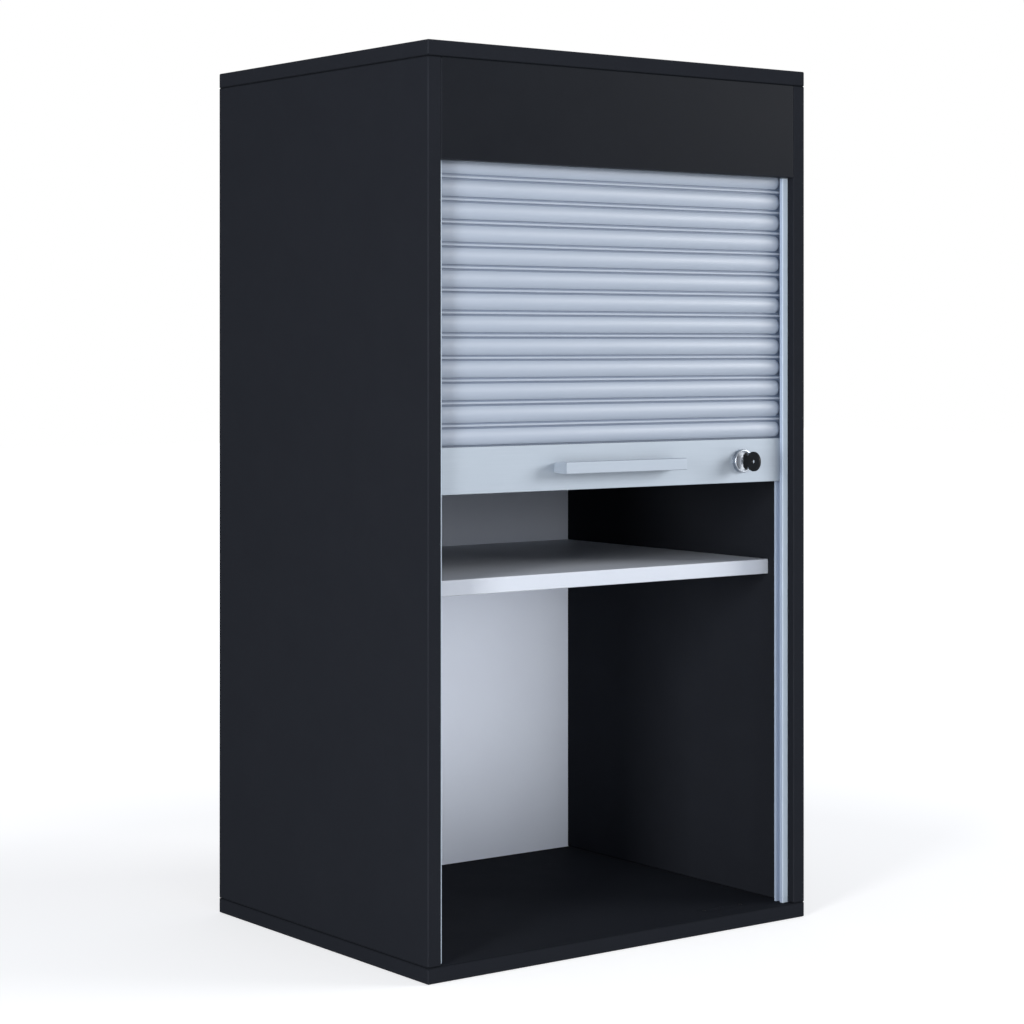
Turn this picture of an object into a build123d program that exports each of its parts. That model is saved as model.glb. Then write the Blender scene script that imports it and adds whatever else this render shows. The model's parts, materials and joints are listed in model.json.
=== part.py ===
from build123d import *

import os
from math import asin, cos, pi, radians, sin

# Office cabinet with a tambour shutter, stored half open.
# Six boards make the carcass. A curtain of hinged slats hangs in two guide rails, turns over
# behind the fascia and lies in a U-shaped track in the head. A flat bar with a handle and a
# lock ends the curtain at the bottom.
# Millimetres. The origin is on the floor at the middle of the footprint, +X right, +Y back, +Z up.
# A setback is a distance behind the plane of the cabinet's front edges.

# Carcass boards
cabinet_width = 500.0
cabinet_depth = 400.0
cabinet_height = 920.0
board = 16.0
edge_round = 1.5
back_sheet = 3.0
back_rebate = 8.0
sheet_clearance = 0.25

# Dowels that join the sides to the top and bottom, three at each corner joint
dowel_diameter = 8.0
dowel_length = 30.0
dowel_in_panel = 11.0
dowel_margin = 48.0
dowel_clearance = 0.1
dowel_play = 1.0

# Fascia in front of the head, held by two dowels at each end
fascia_height = 100.0
fascia_thickness = 12.0
fascia_round = 1.0
fascia_dowel_diameter = 6.0
fascia_dowel_length = 24.0
fascia_dowel_margin = 24.0

# Shelf on four pins
shelf_underside = 371.6
shelf_setback = 40.0
shelf_clearance = 1.0
shelf_round = 1.0
pin_diameter = 5.0
pin_in_wall = 9.0
pin_reach = 9.0
pin_collar = 8.0
pin_collar_thickness = 0.8
pin_margin = 55.0

# Countersunk screws
screw_clearance = 0.15
sheet_screw_diameter = 3.0
sheet_screw_head = 5.6
sheet_screw_length = 16.0
sheet_screw_margin = 70.0
sheet_screws_per_side = 4
sheet_screws_per_end = 3
track_screw_diameter = 4.0
track_screw_head = 7.6
track_screw_length = 18.0
track_screw_pitch = 105.0
track_screws_per_side = 3
floor_screw_diameter = 3.0
floor_screw_head = 5.6
floor_screw_length = 14.0
floor_screw_pitch = 120.0

# Guide rails on the side walls, each with a fin pressed into a saw kerf
rail_setback = 9.5
rail_front_flange = 4.7
rail_rear_flange = 3.2
rail_stand = 7.2
rail_web = 1.2
rail_fin_thickness = 2.0
rail_fin_depth = 6.0
rail_end_gap = 0.5
rail_round = 0.6
kerf_clearance = 0.1

# Curtain slats: a domed hollow face, a rod on the lower edge and a socketed bead on the upper edge
slat_pitch = 22.4
slat_dome = 16.4
slat_thickness = 5.3
slat_wall = 1.3
dome_edge = 2.4
bead_diameter = 2.8
rod_diameter = 1.3
socket_clearance = 0.2
neck_thickness = 0.6
hinge_from_back = 1.9
running_clearance = 0.3
slat_end_clearance = 0.8
socket_front_angle = 26.0
socket_back_angle = 64.0

# How the slats are shared out with the shutter half open, counted from the bar on
hanging_slats = 15
front_bend_slats = 3
top_run_slats = 12
rear_bend_slats = 5

# Track in the head
bend_radius = 36.0
track_thickness = 8.0
track_play = 0.4
track_wall = 4.5
track_gap = 0.3
return_run = 225.0
floor_thickness = 8.0
floor_gap = 0.4
floor_clearance = 1.0

# Bottom bar of the curtain
bar_underside = 474.5
bar_height = 46.7
bar_web = 2.8
bar_lip = 7.0
bar_end_gap = 4.0
bar_round = 0.5
glide_tongue = 12.0
glide_clearance = 0.15

# Bridge handle on the bar
handle_offset = -3.5
handle_length = 160.0
handle_height = 12.0
handle_root_height = 9.5
handle_reach = 20.5
handle_bar = 8.5
handle_post = 13.0
handle_inner_round = 3.0
handle_round = 0.8
handle_screw_diameter = 4.0
handle_screw_head = 7.6
handle_screw_head_height = 2.2
handle_screw_depth = 11.0

# Cylinder lock in the bar
lock_margin = 57.0
ring_diameter = 25.0
ring_bore = 20.5
ring_height = 5.0
ring_lip = 0.8
ring_round = 1.2
ring_bore_round = 0.5
flange_height = 1.2
barrel_diameter = 16.0
barrel_length = 17.0
lock_clearance = 0.2
nut_width = 22.0
nut_height = 3.5
plug_diameter = 11.0
plug_face_recess = 0.4
# the lock's hook bolt swings on a circle and catches under the strike plate
hook_thickness = 1.8
hook_hub = 12.0
hook_reach = 33.0
hook_band = 4.0
hook_arm = 9.0
hook_sweep = 65.0
tenon_width = 7.0
hook_screw_diameter = 3.5
hook_screw_head = 8.5
hook_screw_head_height = 2.0
hook_screw_depth = 5.0

# Key: a metal blade moulded into a bow of two round lobes with a notch above and below
blade_thickness = 2.0
blade_width = 7.2
blade_depth = 13.0
blade_tang = 10.0
blade_clearance = 0.2
bow_start = 4.0
bow_thickness = 3.0
bow_small_radius = 9.4
bow_small_centre = 10.9
bow_large_radius = 10.5
bow_large_centre = 19.7
bow_notch_radius = 2.2
bow_notch_height = 8.2
bow_hole = 4.0
bow_bevel = 0.6

# Strike plate in the bottom panel, where the hook goes in when the shutter is closed and locked
strike_length = 62.0
strike_width = 15.0
strike_thickness = 1.5
strike_slot_width = 4.0
strike_slot_side = 0.8
mortise_depth = 10.5
strike_clearance = 0.1
strike_screw_diameter = 2.5
strike_screw_head = 4.4
strike_screw_length = 9.0
strike_screw_margin = 5.0
closed_gap = 1.0

# One overrun for cuts that must come out through a face
overrun = 1.0

# Places that follow from the sizes above
front_y = -cabinet_depth / 2
half_width = cabinet_width / 2
inner_half = half_width - board
inner_width = 2 * inner_half
inner_height = cabinet_height - 2 * board
middle_height = cabinet_height / 2
top_underside = cabinet_height - board
fascia_underside = top_underside - fascia_height
back_front_y = cabinet_depth / 2 - back_sheet

curtain_setback = rail_setback + rail_front_flange + running_clearance
curtain_back_setback = curtain_setback + slat_thickness
groove_width = slat_thickness + 2 * running_clearance
slat_length = inner_width - 2 * (rail_web + slat_end_clearance)
hinge_y = front_y + curtain_back_setback - hinge_from_back

bar_top = bar_underside + bar_height
bar_middle = bar_underside + bar_height / 2
bar_length = slat_length - 2 * bar_end_gap
lock_offset = bar_length / 2 - lock_margin
bar_hinge_z = bar_top - bead_diameter / 2

# A rigid slat lies inside the bend's circle by this much at its middle
bend_sag = bend_radius * (1 - cos(asin(slat_pitch / 2 / bend_radius)))
track_outside = slat_thickness - hinge_from_back + track_play
track_inside = hinge_from_back + bend_sag + track_play
track_top_z = top_underside - track_outside - track_wall
bend_z = track_top_z - bend_radius
return_z = bend_z - bend_radius
front_bend_y = hinge_y + bend_radius
rear_bend_y = back_front_y - track_gap - track_wall - track_outside - bend_radius
floor_top = fascia_underside + floor_thickness
# the lock's rear passes in front of the head's floor when the shutter is open
hook_front = barrel_length + lock_clearance
lock_rear = hook_front + hook_thickness + hook_screw_head_height
floor_setback = curtain_setback + lock_rear + floor_clearance

os.makedirs("parts", exist_ok=True)


def behind(setback):
    """A plane that faces forward, this far behind the front; its own axes are X and Z."""
    return Plane.XZ.offset(-front_y - setback)


def before_bar(distance):
    """A plane that faces forward, this far in front of the bar's face."""
    return behind(curtain_setback - distance)


# Outward faces that screws go in from: the back of the cabinet and the right track plate's face
rear_face = Plane((0, -front_y, 0), x_dir=(-1, 0, 0), z_dir=(0, 1, 0))
track_face = Plane((inner_half - track_thickness, 0, 0), x_dir=(0, -1, 0), z_dir=(-1, 0, 0))


def evenly(count, first, last):
    """This many places from first to last."""
    return [first + (last - first) * n / (count - 1) for n in range(count)]


# Places of dowels, pins and screws
dowel_rows = evenly(3, front_y + dowel_margin, -front_y - dowel_margin)
dowel_spots = [(side * (half_width - board / 2), y) for side in (-1, 1) for y in dowel_rows]
fascia_dowel_y = front_y + fascia_thickness / 2
fascia_dowel_spots = [
    (fascia_dowel_y, fascia_underside + fascia_dowel_margin),
    (fascia_dowel_y, top_underside - fascia_dowel_margin),
]
pin_z = shelf_underside - pin_diameter / 2
pin_spots = [(front_y + shelf_setback + pin_margin, pin_z), (back_front_y - pin_margin, pin_z)]
sheet_side_x = inner_half + back_rebate / 2
sheet_low_z = board - back_rebate / 2
side_screw_rows = evenly(
    sheet_screws_per_side, board + sheet_screw_margin, top_underside - sheet_screw_margin
)
end_screw_rows = evenly(
    sheet_screws_per_end, sheet_screw_margin - inner_half, inner_half - sheet_screw_margin
)
sheet_side_spots = [(side * sheet_side_x, z) for side in (-1, 1) for z in side_screw_rows]
sheet_low_spots = [(x, sheet_low_z) for x in end_screw_rows]
sheet_high_spots = [(x, cabinet_height - sheet_low_z) for x in end_screw_rows]
sheet_spots = sheet_side_spots + sheet_low_spots + sheet_high_spots
track_screw_span = track_screw_pitch * (track_screws_per_side - 1) / 2
track_screw_spots = [
    (y, bend_z) for y in evenly(track_screws_per_side, -track_screw_span, track_screw_span)
]
floor_screw_x = inner_half - (track_thickness - rail_web) / 2
floor_screw_spots = [
    (side * floor_screw_x, row * floor_screw_pitch) for side in (-1, 1) for row in (-1, 0, 1)
]
lock_spot = (lock_offset, bar_middle)
handle_screw_reach = (handle_length - handle_post) / 2
handle_screw_spots = [
    (handle_offset - handle_screw_reach, bar_middle),
    (handle_offset + handle_screw_reach, bar_middle),
]

# The hook's place, the slot in the plate where its circle crosses with the shutter closed, and the
# mortise below, which lets its tip run on under the plate
hook_y = front_y + curtain_setback + hook_front + hook_thickness / 2
plate_drop = closed_gap + bar_height / 2
hook_inner = hook_reach - hook_band
slot_far = (hook_reach**2 - plate_drop**2) ** 0.5 + strike_slot_side
slot_near = (hook_inner**2 - (plate_drop + strike_thickness) ** 2) ** 0.5 - strike_slot_side
slot_length = slot_far - slot_near
slot_spot = (lock_offset - (slot_far + slot_near) / 2, hook_y)
mortise_length = slot_far + strike_slot_side
strike_x = lock_offset + strike_slot_side - mortise_length / 2
strike_spot = (strike_x, hook_y)
strike_screw_reach = strike_length / 2 - strike_screw_margin
strike_screw_spots = [
    (strike_x - strike_screw_reach, hook_y),
    (strike_x + strike_screw_reach, hook_y),
]


# Carcass
with BuildPart() as top_panel:
    with BuildSketch(Plane.XY.offset(top_underside)):
        Rectangle(cabinet_width, cabinet_depth)
    extrude(amount=board)
    fillet(top_panel.edges(), edge_round)
    with BuildSketch(Plane.XZ.offset(front_y)):
        with Locations((0, middle_height)):
            Rectangle(inner_width + 2 * back_rebate, inner_height + 2 * back_rebate)
    extrude(amount=back_sheet, mode=Mode.SUBTRACT)
    with BuildSketch(Plane.XY.offset(top_underside)):
        with Locations(*dowel_spots):
            Circle(dowel_diameter / 2 + dowel_clearance)
    extrude(amount=dowel_in_panel + dowel_play, mode=Mode.SUBTRACT)
    with BuildSketch(Plane.XZ.offset(front_y + back_sheet)):
        with Locations(*sheet_high_spots):
            Circle(sheet_screw_diameter / 2 + screw_clearance)
    extrude(amount=sheet_screw_length, mode=Mode.SUBTRACT)

with BuildPart() as bottom_panel:
    with BuildSketch(Plane.XY):
        Rectangle(cabinet_width, cabinet_depth)
    extrude(amount=board)
    fillet(bottom_panel.edges(), edge_round)
    with BuildSketch(Plane.XZ.offset(front_y)):
        with Locations((0, middle_height)):
            Rectangle(inner_width + 2 * back_rebate, inner_height + 2 * back_rebate)
    extrude(amount=back_sheet, mode=Mode.SUBTRACT)
    with BuildSketch(Plane.XY.offset(board)):
        with Locations(*dowel_spots):
            Circle(dowel_diameter / 2 + dowel_clearance)
    extrude(amount=-dowel_in_panel - dowel_play, mode=Mode.SUBTRACT)
    with BuildSketch(Plane.XZ.offset(front_y + back_sheet)):
        with Locations(*sheet_low_spots):
            Circle(sheet_screw_diameter / 2 + screw_clearance)
    extrude(amount=sheet_screw_length, mode=Mode.SUBTRACT)
    # recess of the strike plate, the mortise under its slot and its screws' holes
    with BuildSketch(Plane.XY.offset(board)):
        with Locations(strike_spot):
            Rectangle(strike_length + 2 * strike_clearance, strike_width + 2 * strike_clearance)
    extrude(amount=-strike_thickness, mode=Mode.SUBTRACT)
    with BuildSketch(Plane.XY.offset(board)):
        with Locations(strike_spot):
            Rectangle(mortise_length, strike_slot_width)
    extrude(amount=-mortise_depth, mode=Mode.SUBTRACT)
    with BuildSketch(Plane.XY.offset(board)):
        with Locations(*strike_screw_spots):
            Circle(strike_screw_diameter / 2 + screw_clearance)
    extrude(amount=-strike_screw_length - screw_clearance, mode=Mode.SUBTRACT)

with BuildPart() as right_side_panel:
    with BuildSketch(Plane.YZ.offset(inner_half)):
        with Locations((0, middle_height)):
            Rectangle(cabinet_depth, inner_height)
    extrude(amount=board)
    fillet(right_side_panel.edges(), edge_round)
    with BuildSketch(Plane.XZ.offset(front_y)):
        with Locations((0, middle_height)):
            Rectangle(inner_width + 2 * back_rebate, inner_height + 2 * back_rebate)
    extrude(amount=back_sheet, mode=Mode.SUBTRACT)
    with BuildSketch(Plane.XY.offset(board), Plane.XY.offset(top_underside).rotated((180, 0, 0))):
        with Locations(*[(x, y) for x, y in dowel_spots if x > 0]):
            Circle(dowel_diameter / 2 + dowel_clearance)
    extrude(amount=dowel_length - dowel_in_panel + dowel_play, mode=Mode.SUBTRACT)
    with BuildSketch(Plane.XZ.offset(front_y + back_sheet)):
        with Locations(*[(x, z) for x, z in sheet_side_spots if x > 0]):
            Circle(sheet_screw_diameter / 2 + screw_clearance)
    extrude(amount=sheet_screw_length, mode=Mode.SUBTRACT)
    # saw kerf for the rail's fin, behind the middle of its groove
    with BuildSketch(Plane.XY.offset(board)):
        with Locations((inner_half, front_y + curtain_setback + slat_thickness / 2)):
            Rectangle(
                2 * (rail_fin_depth + kerf_clearance), rail_fin_thickness + 2 * kerf_clearance
            )
    extrude(amount=fascia_underside - board, mode=Mode.SUBTRACT)
    with BuildSketch(Plane.YZ.offset(inner_half)):
        with Locations(*pin_spots):
            Circle(pin_diameter / 2 + dowel_clearance)
    extrude(amount=pin_in_wall + dowel_play, mode=Mode.SUBTRACT)
    with BuildSketch(Plane.YZ.offset(inner_half)):
        with Locations(*fascia_dowel_spots):
            Circle(fascia_dowel_diameter / 2 + dowel_clearance)
    extrude(amount=fascia_dowel_length / 2 + dowel_play, mode=Mode.SUBTRACT)
    with BuildSketch(Plane.YZ.offset(inner_half)):
        with Locations(*track_screw_spots):
            Circle(track_screw_diameter / 2 + screw_clearance)
    extrude(amount=track_screw_length - track_thickness + dowel_play, mode=Mode.SUBTRACT)

with BuildPart() as left_side_panel:
    mirror(right_side_panel.part, about=Plane.YZ)

with BuildPart() as back_panel:
    with BuildSketch(Plane.XZ.offset(front_y)):
        with Locations((0, middle_height)):
            Rectangle(
                inner_width + 2 * (back_rebate - sheet_clearance),
                inner_height + 2 * (back_rebate - sheet_clearance),
            )
    extrude(amount=back_sheet)
    with Locations(rear_face):
        with Locations(*[(-x, z) for x, z in sheet_spots]):
            CounterSinkHole(
                sheet_screw_diameter / 2 + screw_clearance, sheet_screw_head / 2 + screw_clearance
            )

with BuildPart() as back_screws:
    with BuildSketch(Plane.XZ.offset(front_y)):
        with Locations(*sheet_spots):
            Circle(sheet_screw_diameter / 2)
    extrude(amount=sheet_screw_length)
    with BuildSketch(Plane.XZ.offset(front_y)):
        with Locations(*sheet_spots):
            Circle(sheet_screw_head / 2)
    extrude(amount=(sheet_screw_head - sheet_screw_diameter) / 2, taper=45)

with BuildPart() as carcass_dowels:
    with BuildSketch(Plane.XY.offset(board - dowel_in_panel)):
        with Locations(*dowel_spots):
            Circle(dowel_diameter / 2)
    extrude(amount=dowel_length)
    with BuildSketch(Plane.XY.offset(top_underside + dowel_in_panel - dowel_length)):
        with Locations(*dowel_spots):
            Circle(dowel_diameter / 2)
    extrude(amount=dowel_length)

with BuildPart() as fascia_panel:
    with BuildSketch(behind(0)):
        with Locations((0, (fascia_underside + top_underside) / 2)):
            Rectangle(inner_width, fascia_height)
    extrude(amount=-fascia_thickness)
    fillet(fascia_panel.edges(), fascia_round)
    with BuildSketch(Plane.YZ.offset(-inner_half), Plane.YZ.offset(inner_half)):
        with Locations(*fascia_dowel_spots):
            Circle(fascia_dowel_diameter / 2 + dowel_clearance)
    extrude(amount=fascia_dowel_length / 2 + dowel_play, both=True, mode=Mode.SUBTRACT)

with BuildPart() as fascia_dowels:
    with BuildSketch(Plane.YZ.offset(-inner_half), Plane.YZ.offset(inner_half)):
        with Locations(*fascia_dowel_spots):
            Circle(fascia_dowel_diameter / 2)
    extrude(amount=fascia_dowel_length / 2, both=True)

# Shelf and its pins
shelf_depth = back_front_y - front_y - shelf_setback
with BuildPart() as shelf:
    with BuildSketch(Plane.XY.offset(shelf_underside)):
        with Locations((0, back_front_y - shelf_depth / 2)):
            Rectangle(inner_width - 2 * shelf_clearance, shelf_depth)
    extrude(amount=board)
    fillet(shelf.edges().filter_by(Axis.X).group_by(Axis.Y)[0], shelf_round)

with BuildPart() as shelf_pins:
    with BuildSketch(Plane.YZ.offset(inner_half)):
        with Locations(*pin_spots):
            Circle(pin_diameter / 2)
    extrude(amount=pin_in_wall)
    with BuildSketch(Plane.YZ.offset(inner_half)):
        with Locations(*pin_spots):
            Circle(pin_diameter / 2)
    extrude(amount=-pin_reach)
    # a collar against the wall, cut level with the shelf's underside
    with BuildSketch(Plane.YZ.offset(inner_half)):
        for y, z in pin_spots:
            with Locations((y, z)):
                Circle(pin_collar / 2)
            with Locations((y, shelf_underside + pin_collar / 2)):
                Rectangle(pin_collar, pin_collar, mode=Mode.SUBTRACT)
    extrude(amount=-pin_collar_thickness)
    mirror(about=Plane.YZ)

# Guide rails
rail_bottom = board
rail_length = fascia_underside - rail_end_gap - rail_bottom
rail_depth = rail_front_flange + groove_width + rail_rear_flange
with BuildPart() as right_guide_rail:
    with BuildSketch(Plane.XY.offset(rail_bottom)) as rail_section:
        with Locations((inner_half - rail_stand / 2, front_y + rail_setback + rail_depth / 2)):
            Rectangle(rail_stand, rail_depth)
        fillet(rail_section.vertices().group_by(Axis.X)[0], rail_round)
        groove_middle = front_y + curtain_setback + slat_thickness / 2
        with Locations((inner_half - (rail_stand + rail_web) / 2, groove_middle)):
            Rectangle(rail_stand - rail_web, groove_width, mode=Mode.SUBTRACT)
        with Locations((inner_half + rail_fin_depth / 2, groove_middle)):
            Rectangle(rail_fin_depth, rail_fin_thickness)
    extrude(amount=rail_length)

with BuildPart() as left_guide_rail:
    mirror(right_guide_rail.part, about=Plane.YZ)

# Track plates in the head, with a leg that meets the rail
track_front_y = front_y + fascia_thickness + track_gap
track_back_y = back_front_y - track_gap
leg_depth = front_y + floor_setback - track_gap - track_front_y
groove_shift = (track_outside - track_inside) / 2
with BuildPart() as right_track_plate:
    with BuildSketch(Plane.YZ.offset(inner_half - track_thickness)):
        with Locations(((track_front_y + track_back_y) / 2, (floor_top + top_underside) / 2)):
            Rectangle(track_back_y - track_front_y, top_underside - floor_top)
        with Locations((track_front_y + leg_depth / 2, fascia_underside + floor_thickness / 2)):
            Rectangle(leg_depth, floor_thickness)
    extrude(amount=track_thickness)
    # groove: up behind the fascia, over the front bend, along the top, round the rear bend and back
    with BuildSketch(Plane.YZ.offset(inner_half - track_thickness)):
        with BuildLine():
            groove_radius = bend_radius + groove_shift
            start = (front_bend_y - groove_radius, fascia_underside - overrun)
            rise = Line(start, (front_bend_y - groove_radius, bend_z))
            front_bend = JernArc(rise @ 1, rise % 1, groove_radius, -90)
            top_run = Line(front_bend @ 1, (rear_bend_y, bend_z + groove_radius))
            rear_bend = JernArc(top_run @ 1, top_run % 1, groove_radius, -180)
            Line(rear_bend @ 1, (rear_bend_y - return_run, bend_z - groove_radius))
        trace(line_width=track_outside + track_inside)
    extrude(amount=track_thickness - rail_web, mode=Mode.SUBTRACT)
    with Locations(track_face):
        with Locations(*[(-y, z) for y, z in track_screw_spots]):
            CounterSinkHole(
                track_screw_diameter / 2 + screw_clearance, track_screw_head / 2 + screw_clearance
            )
    with BuildSketch(Plane.XY.offset(floor_top)):
        with Locations(*[(x, y) for x, y in floor_screw_spots if x > 0]):
            Circle(floor_screw_diameter / 2 + screw_clearance)
    extrude(amount=floor_screw_length - floor_thickness + screw_clearance, mode=Mode.SUBTRACT)

with BuildPart() as left_track_plate:
    mirror(right_track_plate.part, about=Plane.YZ)

with BuildPart() as track_screws:
    with BuildSketch(Plane.YZ.offset(inner_half - track_thickness)):
        with Locations(*track_screw_spots):
            Circle(track_screw_diameter / 2)
    extrude(amount=track_screw_length)
    with BuildSketch(Plane.YZ.offset(inner_half - track_thickness)):
        with Locations(*track_screw_spots):
            Circle(track_screw_head / 2)
    extrude(amount=(track_screw_head - track_screw_diameter) / 2, taper=45)
    mirror(about=Plane.YZ)

# Floor of the head, under the stored curtain
storage_depth = back_front_y - front_y - floor_setback
with BuildPart() as storage_floor:
    with BuildSketch(Plane.XY.offset(fascia_underside)):
        with Locations((0, back_front_y - storage_depth / 2)):
            Rectangle(inner_width - 2 * floor_gap, storage_depth)
    extrude(amount=floor_thickness)
    with Locations(Plane.XY.offset(fascia_underside).rotated((180, 0, 0))):
        with Locations(*[(x, -y) for x, y in floor_screw_spots]):
            CounterSinkHole(
                floor_screw_diameter / 2 + screw_clearance, floor_screw_head / 2 + screw_clearance
            )

with BuildPart() as floor_screws:
    with BuildSketch(Plane.XY.offset(fascia_underside)):
        with Locations(*floor_screw_spots):
            Circle(floor_screw_diameter / 2)
    extrude(amount=floor_screw_length)
    with BuildSketch(Plane.XY.offset(fascia_underside)):
        with Locations(*floor_screw_spots):
            Circle(floor_screw_head / 2)
    extrude(amount=(floor_screw_head - floor_screw_diameter) / 2, taper=45)

# Strike plate and its screws
with BuildPart() as strike_plate:
    with BuildSketch(Plane.XY.offset(board - strike_thickness)):
        with Locations(strike_spot):
            Rectangle(strike_length, strike_width)
        with Locations(slot_spot):
            Rectangle(slot_length, strike_slot_width, mode=Mode.SUBTRACT)
    extrude(amount=strike_thickness)
    with Locations(Plane.XY.offset(board)):
        with Locations(*strike_screw_spots):
            CounterSinkHole(
                strike_screw_diameter / 2 + screw_clearance,
                strike_screw_head / 2 + screw_clearance,
            )

with BuildPart() as strike_screws:
    with BuildSketch(Plane.XY.offset(board)):
        with Locations(*strike_screw_spots):
            Circle(strike_screw_diameter / 2)
    extrude(amount=-strike_screw_length)
    with BuildSketch(Plane.XY.offset(board)):
        with Locations(*strike_screw_spots):
            Circle(strike_screw_head / 2)
    extrude(amount=-(strike_screw_head - strike_screw_diameter) / 2, taper=45)


# Curtain. A slat's section has its lower hinge at the origin, runs up along its own X, and has
# the face of the curtain on its +Y side.
dome_start = (slat_pitch - slat_dome) / 2
dome_end = slat_pitch - dome_start
face_height = slat_thickness - hinge_from_back
edge_height = dome_edge - hinge_from_back
socket_radius = rod_diameter / 2 + socket_clearance

with BuildSketch() as socket_opening:
    Circle(socket_radius)
    with BuildLine():
        Polyline(
            (0, 0),
            (
                bead_diameter * cos(radians(socket_front_angle)),
                bead_diameter * sin(radians(socket_front_angle)),
            ),
            (
                bead_diameter * cos(radians(socket_back_angle)),
                -bead_diameter * sin(radians(socket_back_angle)),
            ),
            close=True,
        )
    make_face()

with BuildSketch() as slat_section:
    # domed face, hollow at the back
    with BuildLine():
        ThreePointArc(
            (dome_start, edge_height), (slat_pitch / 2, face_height), (dome_end, edge_height)
        )
        Polyline(
            (dome_end, edge_height),
            (dome_end, -hinge_from_back),
            (dome_start, -hinge_from_back),
            (dome_start, edge_height),
        )
    make_face()
    with BuildLine():
        hollow = ThreePointArc(
            (dome_start + slat_wall, -hinge_from_back),
            (slat_pitch / 2, face_height - slat_wall),
            (dome_end - slat_wall, -hinge_from_back),
        )
        Line(hollow @ 1, hollow @ 0)
    make_face(mode=Mode.SUBTRACT)
    # rod on the lower edge
    with Locations(((dome_start + slat_wall) / 2, 0)):
        Rectangle(dome_start + slat_wall, neck_thickness)
    Circle(rod_diameter / 2)
    # socketed bead on the upper edge
    with Locations(((dome_end - slat_wall + slat_pitch) / 2, 0)):
        Rectangle(slat_pitch - dome_end + slat_wall, neck_thickness)
    with Locations((slat_pitch, 0)):
        Circle(bead_diameter / 2)
    add(socket_opening.sketch.moved(Location((slat_pitch, 0, 0))), mode=Mode.SUBTRACT)


def track_place(travel):
    """The hinge line's (y, z) after this travel along the track, counted from the floor."""
    quarter = bend_radius * pi / 2
    run = rear_bend_y - front_bend_y
    if travel <= bend_z:
        return hinge_y, travel
    travel -= bend_z
    if travel <= quarter:
        angle = travel / bend_radius
        return front_bend_y - bend_radius * cos(angle), bend_z + bend_radius * sin(angle)
    travel -= quarter
    if travel <= run:
        return front_bend_y + travel, track_top_z
    travel -= run
    if travel <= 2 * quarter:
        angle = travel / bend_radius
        return rear_bend_y + bend_radius * sin(angle), bend_z + bend_radius * cos(angle)
    return rear_bend_y - (travel - 2 * quarter), return_z


def next_hinge(travel):
    """The travel of the hinge that lies one slat pitch further, measured straight across."""
    y, z = track_place(travel)
    low, high = travel, travel + 2 * slat_pitch
    for _ in range(50):
        middle = (low + high) / 2
        far_y, far_z = track_place(middle)
        if (far_y - y) ** 2 + (far_z - z) ** 2 < slat_pitch**2:
            low = middle
        else:
            high = middle
    return high


front_bend_first = hanging_slats + 1
top_run_first = front_bend_first + front_bend_slats
rear_bend_first = top_run_first + top_run_slats
slat_count = hanging_slats + front_bend_slats + top_run_slats + rear_bend_slats

hinges = [bar_hinge_z]
for _ in range(slat_count):
    hinges.append(next_hinge(hinges[-1]))


def slat_plane(number):
    """The plane at the left end of a slat, with its X along the curtain and its Y to the face."""
    y, z = track_place(hinges[number - 1])
    far_y, far_z = track_place(hinges[number])
    return Plane((-slat_length / 2, y, z), x_dir=(0, far_y - y, far_z - z), z_dir=(1, 0, 0))


slats = {}
for number in range(1, front_bend_first):
    with BuildPart() as slat:
        with BuildSketch(slat_plane(number)):
            add(slat_section.sketch)
        extrude(amount=slat_length)
    slats[f"slat_{number:02d}"] = slat

with BuildPart() as slats_on_front_bend:
    for number in range(front_bend_first, top_run_first):
        with BuildSketch(slat_plane(number)):
            add(slat_section.sketch)
        extrude(amount=slat_length)

with BuildPart() as slats_on_top_run:
    for number in range(top_run_first, rear_bend_first):
        with BuildSketch(slat_plane(number)):
            add(slat_section.sketch)
        extrude(amount=slat_length)

with BuildPart() as slats_on_rear_bend:
    for number in range(rear_bend_first, slat_count + 1):
        with BuildSketch(slat_plane(number)):
            add(slat_section.sketch)
        extrude(amount=slat_length)


# Bottom bar: a flat extrusion with a channel in its back and a socket along its top edge
channel_height = bar_height - 2 * bar_lip
channel_depth = slat_thickness - bar_web
curtain_middle_y = front_y + curtain_setback + slat_thickness / 2
channel_y = front_y + curtain_back_setback - channel_depth / 2
bar_hinge_plane = Plane((-bar_length / 2, hinge_y, bar_hinge_z), x_dir=(0, 0, 1), z_dir=(1, 0, 0))
with BuildPart() as bottom_bar:
    with BuildSketch(Plane.YZ.offset(-bar_length / 2)) as bar_section:
        with Locations((curtain_middle_y, bar_middle)):
            Rectangle(slat_thickness, bar_height)
        fillet(bar_section.vertices().group_by(Axis.X)[0], bar_round)
        with Locations((channel_y, bar_middle)):
            Rectangle(channel_depth, channel_height, mode=Mode.SUBTRACT)
    extrude(amount=bar_length)
    with BuildSketch(bar_hinge_plane):
        add(socket_opening.sketch)
    extrude(amount=bar_length, mode=Mode.SUBTRACT)
    with BuildSketch(before_bar(0)):
        with Locations(lock_spot):
            Circle(barrel_diameter / 2 + lock_clearance)
        with Locations(*handle_screw_spots):
            Circle(handle_screw_diameter / 2 + screw_clearance)
    extrude(amount=-slat_thickness, mode=Mode.SUBTRACT)

# Glides that close the bar's ends and run in the rails
glide_channel = channel_height - 2 * glide_clearance
with BuildPart() as right_bar_glide:
    with BuildSketch(Plane.YZ.offset(bar_length / 2)):
        with Locations((curtain_middle_y, bar_underside + (bar_height - bead_diameter) / 2)):
            Rectangle(slat_thickness, bar_height - bead_diameter)
    extrude(amount=bar_end_gap)
    with BuildSketch(Plane.YZ.offset(bar_length / 2)):
        with Locations((channel_y + glide_clearance / 2, bar_middle)):
            Rectangle(channel_depth - glide_clearance, glide_channel)
    extrude(amount=-glide_tongue)

with BuildPart() as left_bar_glide:
    mirror(right_bar_glide.part, about=Plane.YZ)

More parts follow.
